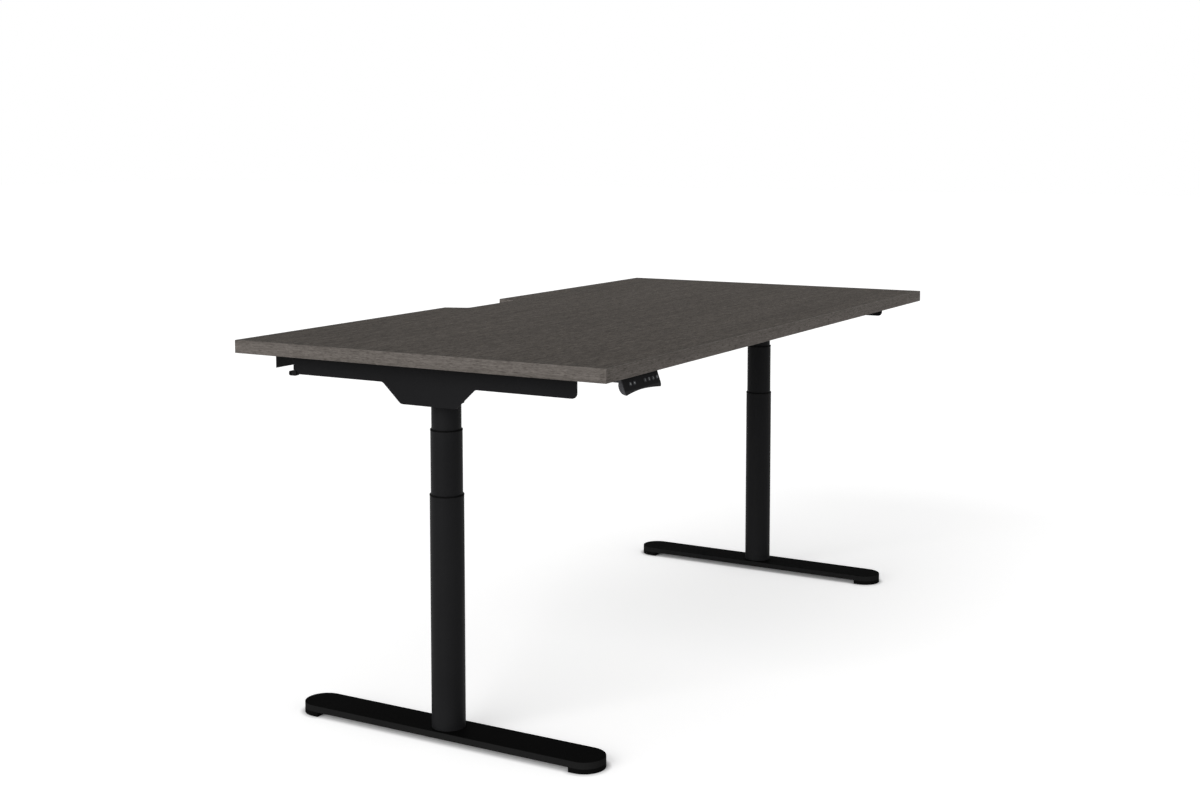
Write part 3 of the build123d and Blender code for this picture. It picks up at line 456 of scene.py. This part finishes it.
def surface_material(
    name, group_name, values, relief, wear=None, turn=None, turn_all=True, tones=None,
    **shader_values,
):
    """A material round one surface group, with its relief and, if asked, its rubbed edges and
    painted light.

    relief is (strength, depth). wear is the colour that shows at a rubbed edge, how much of it
    shows, and the width of the strip in millimetres; on the handset it gives painted highlights
    and a dark rim round a painted highlight. turn is a Mapping rotation that carries the grain to
    another direction, on every face or only on those that look along X. tones paints light and
    shade by which way a face looks: an axis, the tone of the faces that look along it and the tone
    of those that look across it.
    """
    material = bpy.data.materials.new(name)
    material.use_nodes = True
    tree = material.node_tree
    tree.nodes.clear()
    place = tree.nodes.new("ShaderNodeTexCoord").outputs["Object"]
    if turn is not None:
        turned = add_node(tree, "ShaderNodeMapping", {"Vector": place, "Rotation": turn}).outputs[0]
        share = 1.0 if turn_all else calculate(tree, "GREATER_THAN", facing(tree, "X"), FACES_X)
        place = blend_colours(tree, share, place, turned)
    surface = place_group(tree, group_name, {"Vector": place, **values})
    colour = surface.outputs["Colour"]
    # Painted light and shade: the colour is made paler or darker by which way each face looks.
    if tones is not None:
        axis, along, across = tones
        tone = remap(tree, facing(tree, axis), TURNS_TO_AXIS, (across, along))
        colour = shade(tree, colour, tone)
    if wear is not None:
        bare, amount, width = wear
        sockets = {"Vector": place, "Amount": amount, "Width": width * MILLIMETRE}
        worn = place_group(tree, "Edge wear", sockets)
        colour = blend_colours(tree, worn.outputs["Mask"], colour, opaque(bare))
    strength, depth = relief
    sockets = {"Strength": strength, "Distance": depth, "Height": surface.outputs["Height"]}
    bump = add_node(tree, "ShaderNodeBump", sockets)
    sockets = {
        "Base Color": colour,
        "Roughness": surface.outputs["Roughness"],
        "Normal": bump.outputs[0],
        **{key.replace("_", " "): value for key, value in shader_values.items()},
    }
    shader = add_node(tree, "ShaderNodeBsdfPrincipled", sockets)
    output = tree.nodes.new("ShaderNodeOutputMaterial")
    tree.links.new(shader.outputs[0], output.inputs["Surface"])
    return material


def dress(material, *names):
    """Give a material to CAD nodes."""
    for name in names:
        node = frame["nodes"][name]
        node.data.materials.clear()
        node.data.materials.append(material)


def on_both_sides(*stems):
    """Names with _left and _right after each stem."""
    return [f"{stem}_{side}" for stem in stems for side in SIDES]


# ---------------------------------------------------------------------------
# Modelling helpers
# ---------------------------------------------------------------------------


# A flat face is taken as level when this much of its normal is upright.
LEVEL = 0.9
SMOOTH_ANGLE = math.radians(40)


def start_piece(adder, **options):
    """Add one object with everything else deselected, and return it."""
    bpy.ops.object.select_all(action="DESELECT")
    adder(**options)
    return bpy.context.object


def select_faces(piece, wanted):
    """Select, in edit mode, the faces that pass a test and nothing else."""
    bpy.ops.mesh.select_mode(type="FACE")
    bpy.ops.mesh.select_all(action="DESELECT")
    mesh = bmesh.from_edit_mesh(piece.data)
    for face in mesh.faces:
        if wanted(face):
            face.select_set(True)
    bmesh.update_edit_mesh(piece.data)


def round_edges(piece, width):
    """Round a piece's sharp edges."""
    bevel = piece.modifiers.new("Edges", "BEVEL")
    bevel.width = width
    bevel.segments = 2
    bevel.limit_method = "ANGLE"
    bpy.context.view_layer.objects.active = piece
    bpy.ops.object.modifier_apply(modifier=bevel.name)


def settle(piece, name, body, material):
    """Put a piece's place in its mesh, name it, finish it and let it ride on its body."""
    bpy.ops.object.select_all(action="DESELECT")
    piece.select_set(True)
    bpy.context.view_layer.objects.active = piece
    bpy.ops.object.transform_apply(location=True, rotation=True, scale=True)
    piece.name = name
    piece.data.name = name
    piece.data.materials.clear()
    piece.data.materials.append(material)
    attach(piece, body)
    return piece


def repeat_piece(pattern, matrices):
    """One piece made of copies of a pattern, each moved by a matrix."""
    copies = []
    for matrix in matrices:
        made = pattern.copy()
        made.data = pattern.data.copy()
        made.data.transform(matrix)
        bpy.context.scene.collection.objects.link(made)
        copies.append(made)
    bpy.ops.object.select_all(action="DESELECT")
    for made in copies:
        made.select_set(True)
    bpy.context.view_layer.objects.active = copies[0]
    bpy.ops.object.join()
    return copies[0]


def middle(node):
    """The middle of a CAD node's box."""
    low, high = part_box(node)
    return (Vector(low) + Vector(high)) / 2


# ---------------------------------------------------------------------------
# Finishes of the CAD nodes
# ---------------------------------------------------------------------------


# How much finer the decor under the board is than the one on top.
UNDERSIDE_FIBRES = 1.4
# How much paler than its coat or its plastic a rubbed edge is. On the handset's face and buttons
# the paler plastic edge is a painted highlight.
BARE_COAT = 4.5
BARE_PLASTIC = 5


def decor_values(tones, fibres, mottle):
    """What the wood decor's node group is given."""
    values = {name: opaque(tone) for name, tone in zip(("Dark", "Middle", "Light"), tones)}
    return {**values, "Fibres": fibres, "Mottle": mottle}


class DESK_OT_finish_desktop(Operator):
    """Wood decor on the board, its top laminate and its edge bands"""

    bl_idname = "desk.finish_desktop"
    bl_label = "Finish desktop"

    def execute(self, context):
        finish = context.scene.desk_finish
        fibres = 1 / finish.fibre
        tones = (finish.grain_dark, finish.grain_middle, finish.grain_light)
        # Painted light: the bands' tones are a paler copy of the top's decor.
        band_tones_painted_paler = (finish.band_dark, finish.band_middle, finish.band_light)
        decor = decor_values(tones, fibres, finish.mottle)
        underside = decor_values(tones, UNDERSIDE_FIBRES * fibres, finish.mottle)
        band = decor_values(band_tones_painted_paler, fibres, finish.mottle * finish.band_mottle)
        top = surface_material(
            "laminate_top", "Wood decor", decor, (0.25, 0.0002), Specular_IOR_Level=0.004
        )
        dress(top, "top_laminate")
        board = surface_material(
            "board_underside", "Wood decor", underside, (0.2, 0.0002), Specular_IOR_Level=0.1
        )
        dress(board, "desktop_core")
        band_look = {
            "relief": (0.3, 0.0002),
            "wear": (finish.band_light, finish.wear, EDGE_WIDTH),
            "turn": (0, 0, math.pi / 2),
            "Specular_IOR_Level": 0.02,
        }
        long_band = surface_material(
            "long_edge_band", "Wood decor", band, turn_all=False, **band_look
        )
        dress(long_band, "edge_band_front", "edge_band_rear")
        short_band = surface_material("short_edge_band", "Wood decor", band, **band_look)
        dress(short_band, "edge_band_left", "edge_band_right")
        return {"FINISHED"}


class DESK_OT_finish_steelwork(Operator):
    """Powder coat on the feet, columns, brackets, rails and cable tray"""

    bl_idname = "desk.finish_steelwork"
    bl_label = "Finish steelwork"

    def execute(self, context):
        finish = context.scene.desk_finish
        wear = (paler(finish.coat, BARE_COAT), finish.wear, EDGE_WIDTH)
        ripples = 1 / finish.peel
        # Painted light: the sides of the feet are drawn paler than their tops, by which way each
        # face looks.
        painted_side_light = ("Z", 1.0, finish.foot_side_painted_light[0] / finish.foot_coat_painted_shade[0])
        coats = (
            ("foot_coat_painted_shade", finish.foot_coat_painted_shade, 0.62, 0.002, (0.35, 0.0003), painted_side_light,
             ["foot_left", "foot_right"]),
            ("column_coat", finish.coat, 0.5, 0.04, (0.22, 0.0002), None,
             on_both_sides("outer_tube", "middle_tube", "top_tube")),
            ("bracket_coat", finish.coat, 0.55, 0.03, (0.3, 0.0003), None,
             on_both_sides("side_bracket") + ["cross_rail_front", "cross_rail_rear"]),
            ("tray_coat", finish.tray_coat, 0.55, 0.06, (0.3, 0.0003), None, ["cable_tray"]),
        )
        for name, colour, gloss, mirror, relief, tones, nodes in coats:
            values = {"Colour": opaque(colour), "Ripples": ripples, "Gloss": gloss}
            coat = surface_material(
                name, "Powder coat", values, relief, wear, tones=tones, Specular_IOR_Level=mirror
            )
            dress(coat, *nodes)
        return {"FINISHED"}


class DESK_OT_finish_drive(Operator):
    """Metal and plastic of the spindles, nuts, gear housings, motors and bolts"""

    bl_idname = "desk.finish_drive"
    bl_label = "Finish drive"

    def execute(self, context):
        finish = context.scene.desk_finish
        parts = (
            ("spindle_steel", "Turned metal", finish.steel, ("Rings", 900.0), 0.3, (0.3, 0.0002),
             None, 1.0,
             ["base_spindles", "column_bases"] + on_both_sides("hollow_spindle", "drive_shaft")),
            ("blackened_bolts", "Turned metal", finish.bolt, ("Rings", 1500.0), 0.36, (0.2, 0.0001),
             None, 0.85, ["foot_bolts", "rail_bolts", "gearbox_bolts", "wood_screws"]),
            ("cast_housing", "Powder coat", finish.casting, ("Ripples", 520.0), 0.55, (0.6, 0.0005),
             (finish.steel, 0.4, EDGE_WIDTH), 0.6, ["gearbox_lids"] + on_both_sides("gearbox")),
            ("motor_can", "Turned metal", finish.coat, ("Rings", 420.0), 0.34, (0.12, 0.0001),
             (finish.steel, 0.3, EDGE_WIDTH), 0.0, on_both_sides("motor")),
            ("acetal_parts", "Moulded plastic", finish.acetal, ("Texture", 800.0), 0.4,
             (0.15, 0.0001), None, 0.0,
             ["upper_nuts"] + on_both_sides("lower_nut", "spindle_carrier", "worm_wheel")),
        )
        for name, group, colour, (texture, scale), gloss, relief, wear, metal, nodes in parts:
            values = {"Colour": opaque(colour), texture: scale, "Gloss": gloss}
            dress(surface_material(name, group, values, relief, wear, Metallic=metal), *nodes)
        return {"FINISHED"}


class DESK_OT_finish_plastics(Operator):
    """Moulded plastic and rubber of the rings, pads, clips, control box and handset"""

    bl_idname = "desk.finish_plastics"
    bl_label = "Finish plastics"

    def execute(self, context):
        finish = context.scene.desk_finish
        levellers = on_both_sides("levelling_screw_front", "levelling_screw_rear")
        buttons = [f"button_{name}" for name in BUTTONS]
        # Painted highlight: the ends of the handset's case are drawn nine times as pale as its
        # plastic, standing in for a shine.
        painted_shine_ends = ("X", 9.0, 1.0)
        # Paler edges: wear on the clips and the control box, and painted highlights along the edges
        # of the handset's face and buttons.
        rubbed = (paler(finish.plastic, BARE_PLASTIC), 0.4, EDGE_WIDTH)
        # Not wear: this edge mask brings back the case's plain plastic along its edges, a dark rim
        # round the painted highlight on its ends.
        sharp = (finish.plastic, 1.0, 1.6)
        plastics = (
            ("glide_rings", finish.rubber, 900.0, 0.5, 0.01, 0.2, None,
             ["outer_rings"] + on_both_sides("middle_ring")),
            ("foot_pads", finish.rubber, 700.0, 0.82, 0.01, 0.5, None, ["foot_pads"]),
            ("levelling_discs", finish.plastic, 1000.0, 0.6, 0.03, 0.35, None, levellers),
            ("cable_clips", finish.plastic, 1200.0, 0.5, 0.04, 0.25, rubbed, ["cable_clips"]),
            ("control_box_case", finish.plastic, 1400.0, 0.58, 0.05, 0.45, rubbed, ["control_box"]),
            ("socket_liners", finish.bolt, 1500.0, 0.45, 0.05, 0.2, None, ["control_box_sockets"]),
            ("handset_case", finish.plastic, 1600.0, 0.32, 0.03, 0.12, sharp, ["handset_housing"]),
            ("handset_panel", finish.plastic, 2200.0, 0.4, 0.01, 0.06, rubbed, ["handset_face"]),
            ("push_buttons", finish.button, 1800.0, 0.4, 0.03, 0.2, rubbed, buttons),
        )
        for name, colour, texture, gloss, mirror, strength, wear, nodes in plastics:
            values = {"Colour": opaque(colour), "Texture": texture, "Gloss": gloss}
            # Only the handset's case gets the painted highlight on its ends.
            tones = painted_shine_ends if wear is sharp else None
            made = surface_material(
                name, "Moulded plastic", values, (strength, 0.0002), wear, tones=tones,
                Specular_IOR_Level=mirror,
            )
            dress(made, *nodes)
        return {"FINISHED"}


# ---------------------------------------------------------------------------
# Fittings
# ---------------------------------------------------------------------------


def outer_face(node, outward):
    """The middle of the flat face of a CAD node that lies furthest outwards."""
    places = [vertex.co for vertex in frame["nodes"][node].data.vertices]
    reach = max(place.dot(outward) for place in places)
    flat = 0.01 * MILLIMETRE
    on_face = [place for place in places if place.dot(outward) > reach - flat]
    lows = Vector(min(place[i] for place in on_face) for i in range(3))
    highs = Vector(max(place[i] for place in on_face) for i in range(3))
    return (lows + highs) / 2


def face_matrix(centre, outward):
    """A frame on a face that leans back: X to the right, Y up the face, Z outwards."""
    across = Vector((1, 0, 0))
    up = outward.cross(across)
    turn = Matrix((across, up, outward)).transposed()
    return Matrix.Translation(centre) @ turn.to_4x4()


# Shares of a mark's height.
FONT_SIZE = 1.35
ARROW_RADIUS, ARROW_LINE = 0.62, 0.2
RING_RADIUS, RING_LINE = 0.48, 0.16


def number_mark(digit, size, thickness):
    """A raised numeral, centred on the origin."""
    mark = start_piece(bpy.ops.object.text_add)
    mark.data.body = digit
    mark.data.align_x = "CENTER"
    mark.data.align_y = "CENTER"
    mark.data.size = size * FONT_SIZE
    mark.data.extrude = thickness / 2
    mark.data.bevel_depth = thickness / 6
    bpy.ops.object.convert(target="MESH")
    return bpy.context.object


def arrow_mark(size, thickness, turn):
    """A raised arrow head, hollow in the middle, centred on the origin."""
    mark = start_piece(
        bpy.ops.mesh.primitive_circle_add,
        vertices=3,
        radius=size * ARROW_RADIUS,
        fill_type="NGON",
        rotation=(0, 0, turn),
    )
    raise_outline(mark, size * ARROW_LINE, thickness)
    return mark


def ring_mark(size, thickness):
    """A raised ring for the button that stores a height."""
    mark = start_piece(
        bpy.ops.mesh.primitive_circle_add,
        vertices=40,
        radius=size * RING_RADIUS,
        fill_type="NGON",
    )
    raise_outline(mark, size * RING_LINE, thickness)
    return mark


def raise_outline(mark, width, thickness):
    """Turn a flat shape into a raised outline of the given width."""
    bpy.ops.object.mode_set(mode="EDIT")
    bpy.ops.mesh.select_all(action="SELECT")
    bpy.ops.mesh.inset(thickness=width, use_even_offset=True)
    bpy.ops.mesh.delete(type="FACE")
    bpy.ops.mesh.select_all(action="SELECT")
    bpy.ops.mesh.extrude_region_move(TRANSFORM_OT_translate={"value": (0, 0, thickness)})
    bpy.ops.mesh.select_all(action="SELECT")
    bpy.ops.mesh.normals_make_consistent(inside=False)
    bpy.ops.object.mode_set(mode="OBJECT")


class DESK_OT_button_marks(Operator):
    """Arrows, numbers and a ring, raised a little from the push buttons"""

    bl_idname = "desk.button_marks"
    bl_label = "Button marks"

    def execute(self, context):
        fitting = context.scene.desk_fitting
        size, thickness = fitting.mark_height, fitting.mark_thickness
        colour = opaque(context.scene.desk_finish.mark)
        values = {"Colour": colour, "Texture": 2400.0, "Gloss": 0.5}
        paint = surface_material("button_marks", "Moulded plastic", values, (0.1, 0.0001))
        makers = {
            "up": lambda: arrow_mark(size, thickness, 0),
            "down": lambda: arrow_mark(size, thickness, math.pi),
            "one": lambda: number_mark("1", size, thickness),
            "two": lambda: number_mark("2", size, thickness),
            "three": lambda: number_mark("3", size, thickness),
            "save": lambda: ring_mark(size, thickness),
        }
        axes = {joint["name"]: joint["axis"] for joint in frame["joints"]}
        for name in BUTTONS:
            outward = -Vector(axes[f"press_{name}"]).normalized()
            mark = makers[name]()
            centre = outer_face(f"button_{name}", outward)
            mark.matrix_world = face_matrix(centre, outward) @ mark.matrix_world
            settle(mark, f"mark_{name}", f"{name}_button", paint)
        return {"FINISHED"}


class DESK_OT_weld_beads(Operator):
    """Rippled weld beads where the top tubes stand in the brackets' lugs"""

    bl_idname = "desk.weld_beads"
    bl_label = "Weld beads"

    def execute(self, context):
        fitting = context.scene.desk_fitting
        coat = frame["nodes"]["side_bracket_left"].data.materials[0]
        low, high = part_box("top_tube_left")
        tube_radius = (high[0] - low[0]) / 2
        bracket_sheet = 3 * MILLIMETRE
        lug_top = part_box("side_bracket_left")[0][2] + bracket_sheet
        ripples = round(2 * math.pi * tube_radius / fitting.bead_pitch)
        ripple_steps, ripple_swell = 6, 0.16
        for side in SIDES:
            centre = middle(f"top_tube_{side}")
            bead = start_piece(
                bpy.ops.mesh.primitive_torus_add,
                major_segments=ripples * ripple_steps,
                minor_segments=12,
                major_radius=tube_radius,
                minor_radius=fitting.bead_radius,
                location=(centre.x, centre.y, lug_top),
            )
            for vertex in bead.data.vertices:
                angle = math.atan2(vertex.co.y, vertex.co.x)
                swell = 1 + ripple_swell * abs(math.sin(angle * ripples / 2))
                spine = Vector((vertex.co.x, vertex.co.y, 0)).normalized() * tube_radius
                vertex.co = spine + (vertex.co - spine) * swell
            bpy.ops.object.shade_smooth()
            settle(bead, f"weld_bead_{side}", "top_frame", coat)
        return {"FINISHED"}


def socket_screw(diameter, height):
    """A screw head with a hexagonal socket, standing on the origin along +Z."""
    head = start_piece(
        bpy.ops.mesh.primitive_cylinder_add,
        vertices=24,
        radius=diameter / 2,
        depth=height,
        location=(0, 0, height / 2),
    )
    rim, wall, edge = diameter * 0.06, diameter * 0.16, diameter * 0.04
    socket_depth = height * 0.55
    bpy.ops.object.mode_set(mode="EDIT")
    select_faces(head, lambda face: face.normal.z > LEVEL)
    bpy.ops.mesh.inset(thickness=rim)
    bpy.ops.mesh.inset(thickness=wall)
    bpy.ops.mesh.extrude_region_move(TRANSFORM_OT_translate={"value": (0, 0, -socket_depth)})
    bpy.ops.object.mode_set(mode="OBJECT")
    round_edges(head, edge)
    bpy.ops.object.transform_apply(location=True)
    return head


class DESK_OT_motor_screws(Operator):
    """Four screws in the flange of each motor"""

    bl_idname = "desk.motor_screws"
    bl_label = "Motor screws"

    def execute(self, context):
        fitting = context.scene.desk_fitting
        steel = frame["nodes"]["rail_bolts"].data.materials[0]
        pattern = socket_screw(fitting.screw_head, fitting.screw_height)
        flange_thickness = 5 * MILLIMETRE
        corner = 14.6 * MILLIMETRE
        for side, inward in (("left", 1), ("right", -1)):
            gear_low, gear_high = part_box(f"gearbox_{side}")
            wall = gear_high[0] if side == "left" else gear_low[0]
            centre = middle(f"motor_{side}")
            centre.x = wall + inward * flange_thickness
            lie = Matrix.Rotation(inward * math.pi / 2, 4, "Y")
            matrices = [
                Matrix.Translation(centre + Vector((0, across * corner, up * corner))) @ lie
                for across in (-1, 1)
                for up in (-1, 1)
            ]
            screws = repeat_piece(pattern, matrices)
            settle(screws, f"motor_screws_{side}", "top_frame", steel)
        bpy.data.objects.remove(pattern)
        return {"FINISHED"}


class DESK_OT_control_box_cover(Operator):
    """Cooling ribs, cover screws and a status light under the control box"""

    bl_idname = "desk.control_box_cover"
    bl_label = "Control box cover"

    def execute(self, context):
        fitting = context.scene.desk_fitting
        case = frame["nodes"]["control_box"].data.materials[0]
        steel = frame["nodes"]["rail_bolts"].data.materials[0]
        low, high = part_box("control_box")
        centre = middle("control_box")
        under = low[2]
        rim, edge = fitting.rib_width * 0.2, fitting.rib_width * 0.12
        rib = start_piece(
            bpy.ops.mesh.primitive_cube_add,
            size=1,
            scale=(fitting.rib_width, fitting.rib_length, fitting.rib_height),
            location=(0, 0, -fitting.rib_height / 2),
        )
        bpy.ops.object.transform_apply(location=True, scale=True)
        bpy.ops.object.mode_set(mode="EDIT")
        select_faces(rib, lambda face: face.normal.z < -LEVEL)
        bpy.ops.mesh.inset(thickness=rim)
        bpy.ops.object.mode_set(mode="OBJECT")
        round_edges(rib, edge)
        middle_rib = (fitting.rib_count - 1) / 2
        matrices = []
        for index in range(fitting.rib_count):
            offset = (index - middle_rib) * fitting.rib_pitch
            matrices.append(Matrix.Translation((centre.x + offset, centre.y, under)))
        ribs = repeat_piece(rib, matrices)
        bpy.data.objects.remove(rib)
        settle(ribs, "control_box_ribs", "top_frame", case)

        flat_head = fitting.screw_height * 0.6
        pattern = socket_screw(fitting.screw_head, flat_head)
        inset, ear = 9 * MILLIMETRE, 14 * MILLIMETRE
        upside_down = Matrix.Rotation(math.pi, 4, "X")
        matrices = [
            Matrix.Translation((x, y, under)) @ upside_down
            for x in (low[0] + ear + inset, high[0] - ear - inset)
            for y in (low[1] + inset, high[1] - inset)
        ]
        screws = repeat_piece(pattern, matrices)
        bpy.data.objects.remove(pattern)
        settle(screws, "cover_screws", "top_frame", steel)

        lens_radius, from_middle, from_front = (size * MILLIMETRE for size in (1.8, 92, 26))
        lens = start_piece(
            bpy.ops.mesh.primitive_uv_sphere_add,
            segments=24,
            ring_count=12,
            radius=lens_radius,
            location=(centre.x + from_middle, low[1] + from_front, under),
        )
        bpy.ops.object.mode_set(mode="EDIT")
        bpy.ops.mesh.select_all(action="SELECT")
        bpy.ops.mesh.bisect(
            plane_co=lens.location, plane_no=(0, 0, 1), clear_outer=True, use_fill=True
        )
        bpy.ops.object.mode_set(mode="OBJECT")
        bpy.ops.object.shade_smooth_by_angle(angle=SMOOTH_ANGLE)
        colour = opaque(context.scene.desk_finish.acetal)
        values = {"Colour": colour, "Texture": 1500.0, "Gloss": 0.2}
        lens_plastic = surface_material("status_lens", "Moulded plastic", values, (0.05, 0.0001))
        settle(lens, "status_light", "top_frame", lens_plastic)
        return {"FINISHED"}


class DESK_OT_tray_hem(Operator):
    """The rolled edge along the lip of the cable tray"""

    bl_idname = "desk.tray_hem"
    bl_label = "Tray hem"

    def execute(self, context):
        fitting = context.scene.desk_fitting
        coat = frame["nodes"]["cable_tray"].data.materials[0]
        low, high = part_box("cable_tray")
        lip_height, sheet = 19 * MILLIMETRE, 1.5 * MILLIMETRE
        rim, edge = fitting.hem_radius * 0.4, fitting.hem_radius * 0.25
        hem = start_piece(
            bpy.ops.mesh.primitive_cylinder_add,
            vertices=20,
            radius=fitting.hem_radius,
            depth=high[0] - low[0] - 2 * fitting.hem_setback,
            location=((low[0] + high[0]) / 2, high[1] - sheet / 2, low[2] + lip_height),
            rotation=(0, math.pi / 2, 0),
        )
        bpy.ops.object.mode_set(mode="EDIT")
        select_faces(hem, lambda face: abs(face.normal.z) > LEVEL)
        bpy.ops.mesh.inset(thickness=rim)
        bpy.ops.object.mode_set(mode="OBJECT")
        round_edges(hem, edge)
        bpy.ops.object.shade_smooth_by_angle(angle=SMOOTH_ANGLE)
        settle(hem, "tray_hem", "top_frame", coat)
        return {"FINISHED"}


# ---------------------------------------------------------------------------
# Stage
# ---------------------------------------------------------------------------


# The first two in metres, the sensor's width in millimetres.
FLOOR_SIZE = 60
LAMP_DISTANCE = 4
SENSOR_WIDTH = 36


def seen_directly(tree):
    """1 for camera rays and for what shows in gloss or through glass, otherwise 0."""
    rays = tree.nodes.new("ShaderNodeLightPath").outputs
    kinds = ("Is Camera Ray", "Is Glossy Ray", "Is Transmission Ray")
    return calculate(tree, "MAXIMUM", *(rays[kind] for kind in kinds))


def floor_material(stage):
    """A pale matt floor that reads as white, with a painted contact shadow where a piece stands
    close to it.
    """
    material = bpy.data.materials.new("studio_floor")
    material.use_nodes = True
    tree = material.node_tree
    tree.nodes.clear()
    matt = add_node(tree, "ShaderNodeBsdfDiffuse", {"Color": opaque(stage.floor)})
    # Painted shadow: ambient occlusion takes the camera's lift off the floor near any piece.
    reach = {"Distance": stage.contact_reach}
    clear = add_node(tree, "ShaderNodeAmbientOcclusion", reach).outputs["AO"]
    clear = calculate(tree, "POWER", clear, stage.contact_depth)
    strength = calculate(tree, "MULTIPLY", seen_directly(tree), stage.floor_lift, clear)
    glow = add_node(tree, "ShaderNodeEmission", {"Strength": strength})
    both = add_node(tree, "ShaderNodeAddShader", {0: matt.outputs[0], 1: glow.outputs[0]})
    output = tree.nodes.new("ShaderNodeOutputMaterial")
    tree.links.new(both.outputs[0], output.inputs["Surface"])
    return material


def soft_light(name, turn, height, strength, spread):
    """A wide, even light from far away. A turn of 0 comes from -X, and a quarter turn from -Y."""
    lamp = bpy.data.lights.new(name, "SUN")
    lamp.energy = strength
    lamp.angle = spread
    level = math.cos(height)
    towards = Vector((-level * math.cos(turn), -level * math.sin(turn), math.sin(height)))
    light = bpy.data.objects.new(name, lamp)
    light.location = towards * LAMP_DISTANCE
    light.rotation_mode = "QUATERNION"
    light.rotation_quaternion = (-towards).to_track_quat("-Z", "Y")
    bpy.context.scene.collection.objects.link(light)


class DESK_OT_stage(Operator):
    """Pale floor, soft light and camera"""

    bl_idname = "desk.stage"
    bl_label = "Stage"

    def execute(self, context):
        stage = context.scene.desk_stage
        floor = start_piece(bpy.ops.mesh.primitive_plane_add, size=FLOOR_SIZE)
        floor.name = "studio_floor"
        floor.data.materials.append(floor_material(stage))

        world = bpy.data.worlds.new("studio_sky")
        context.scene.world = world
        world.use_nodes = True
        tree = world.node_tree
        tree.nodes.clear()
        strength = remap(tree, seen_directly(tree), MASK, (stage.sky, 1.0))
        sky = add_node(tree, "ShaderNodeBackground", {"Color": (1, 1, 1, 1), "Strength": strength})
        output = tree.nodes.new("ShaderNodeOutputWorld")
        tree.links.new(sky.outputs[0], output.inputs["Surface"])

        soft_light(
            "side_light", stage.side_turn, stage.side_height, stage.side_light, stage.spread
        )
        soft_light(
            "front_light", stage.front_turn, stage.front_height, stage.front_light, stage.spread
        )

        lens = bpy.data.cameras.new("desk_camera")
        lens.sensor_width = SENSOR_WIDTH
        lens.lens = stage.focal_length
        lens.shift_y = stage.lens_shift
        camera = bpy.data.objects.new("desk_camera", lens)
        camera.location = stage.camera_place
        camera.rotation_euler = (math.pi / 2 - stage.camera_dip, 0, -stage.camera_turn)
        context.scene.collection.objects.link(camera)
        context.scene.camera = camera
        context.scene.view_settings.view_transform = "Standard"
        return {"FINISHED"}


# ---------------------------------------------------------------------------
# Panel and registration
# ---------------------------------------------------------------------------

OPERATORS = (
    DESK_OT_finish_desktop,
    DESK_OT_finish_steelwork,
    DESK_OT_finish_drive,
    DESK_OT_finish_plastics,
    DESK_OT_button_marks,
    DESK_OT_weld_beads,
    DESK_OT_motor_screws,
    DESK_OT_control_box_cover,
    DESK_OT_tray_hem,
    DESK_OT_stage,
)


class DESK_PT_panel(Panel):
    """Steps and settings of the desk"""

    bl_idname = "DESK_PT_panel"
    bl_label = "Height Adjustable Desk"
    bl_space_type = "VIEW_3D"
    bl_region_type = "UI"
    bl_category = "Desk"

    def draw(self, context):
        column = self.layout.column()
        for operator in OPERATORS:
            column.operator(operator.bl_idname)
        scene = context.scene
        for settings in (scene.desk_finish, scene.desk_fitting, scene.desk_stage):
            box = self.layout.box()
            for name in settings.bl_rna.properties.keys():
                if name not in {"rna_type", "name"}:
                    box.prop(settings, name)


SETTINGS = (
    ("desk_finish", DeskFinishSettings),
    ("desk_fitting", DeskFittingSettings),
    ("desk_stage", DeskStageSettings),
)


def register():
    """Register the settings, the operators and the panel."""
    for name, settings in SETTINGS:
        bpy.utils.register_class(settings)
        setattr(bpy.types.Scene, name, PointerProperty(type=settings))
    for operator in OPERATORS:
        bpy.utils.register_class(operator)
    bpy.utils.register_class(DESK_PT_panel)


def unregister():
    """Take everything out again, in the opposite order."""
    bpy.utils.unregister_class(DESK_PT_panel)
    for operator in reversed(OPERATORS):
        bpy.utils.unregister_class(operator)
    for name, settings in reversed(SETTINGS):
        delattr(bpy.types.Scene, name)
        bpy.utils.unregister_class(settings)


def main():
    """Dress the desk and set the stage."""
    register()
    for operator in OPERATORS:
        group, name = operator.bl_idname.split(".")
        getattr(getattr(bpy.ops, group), name)()


if __name__ == "__main__":
    main()
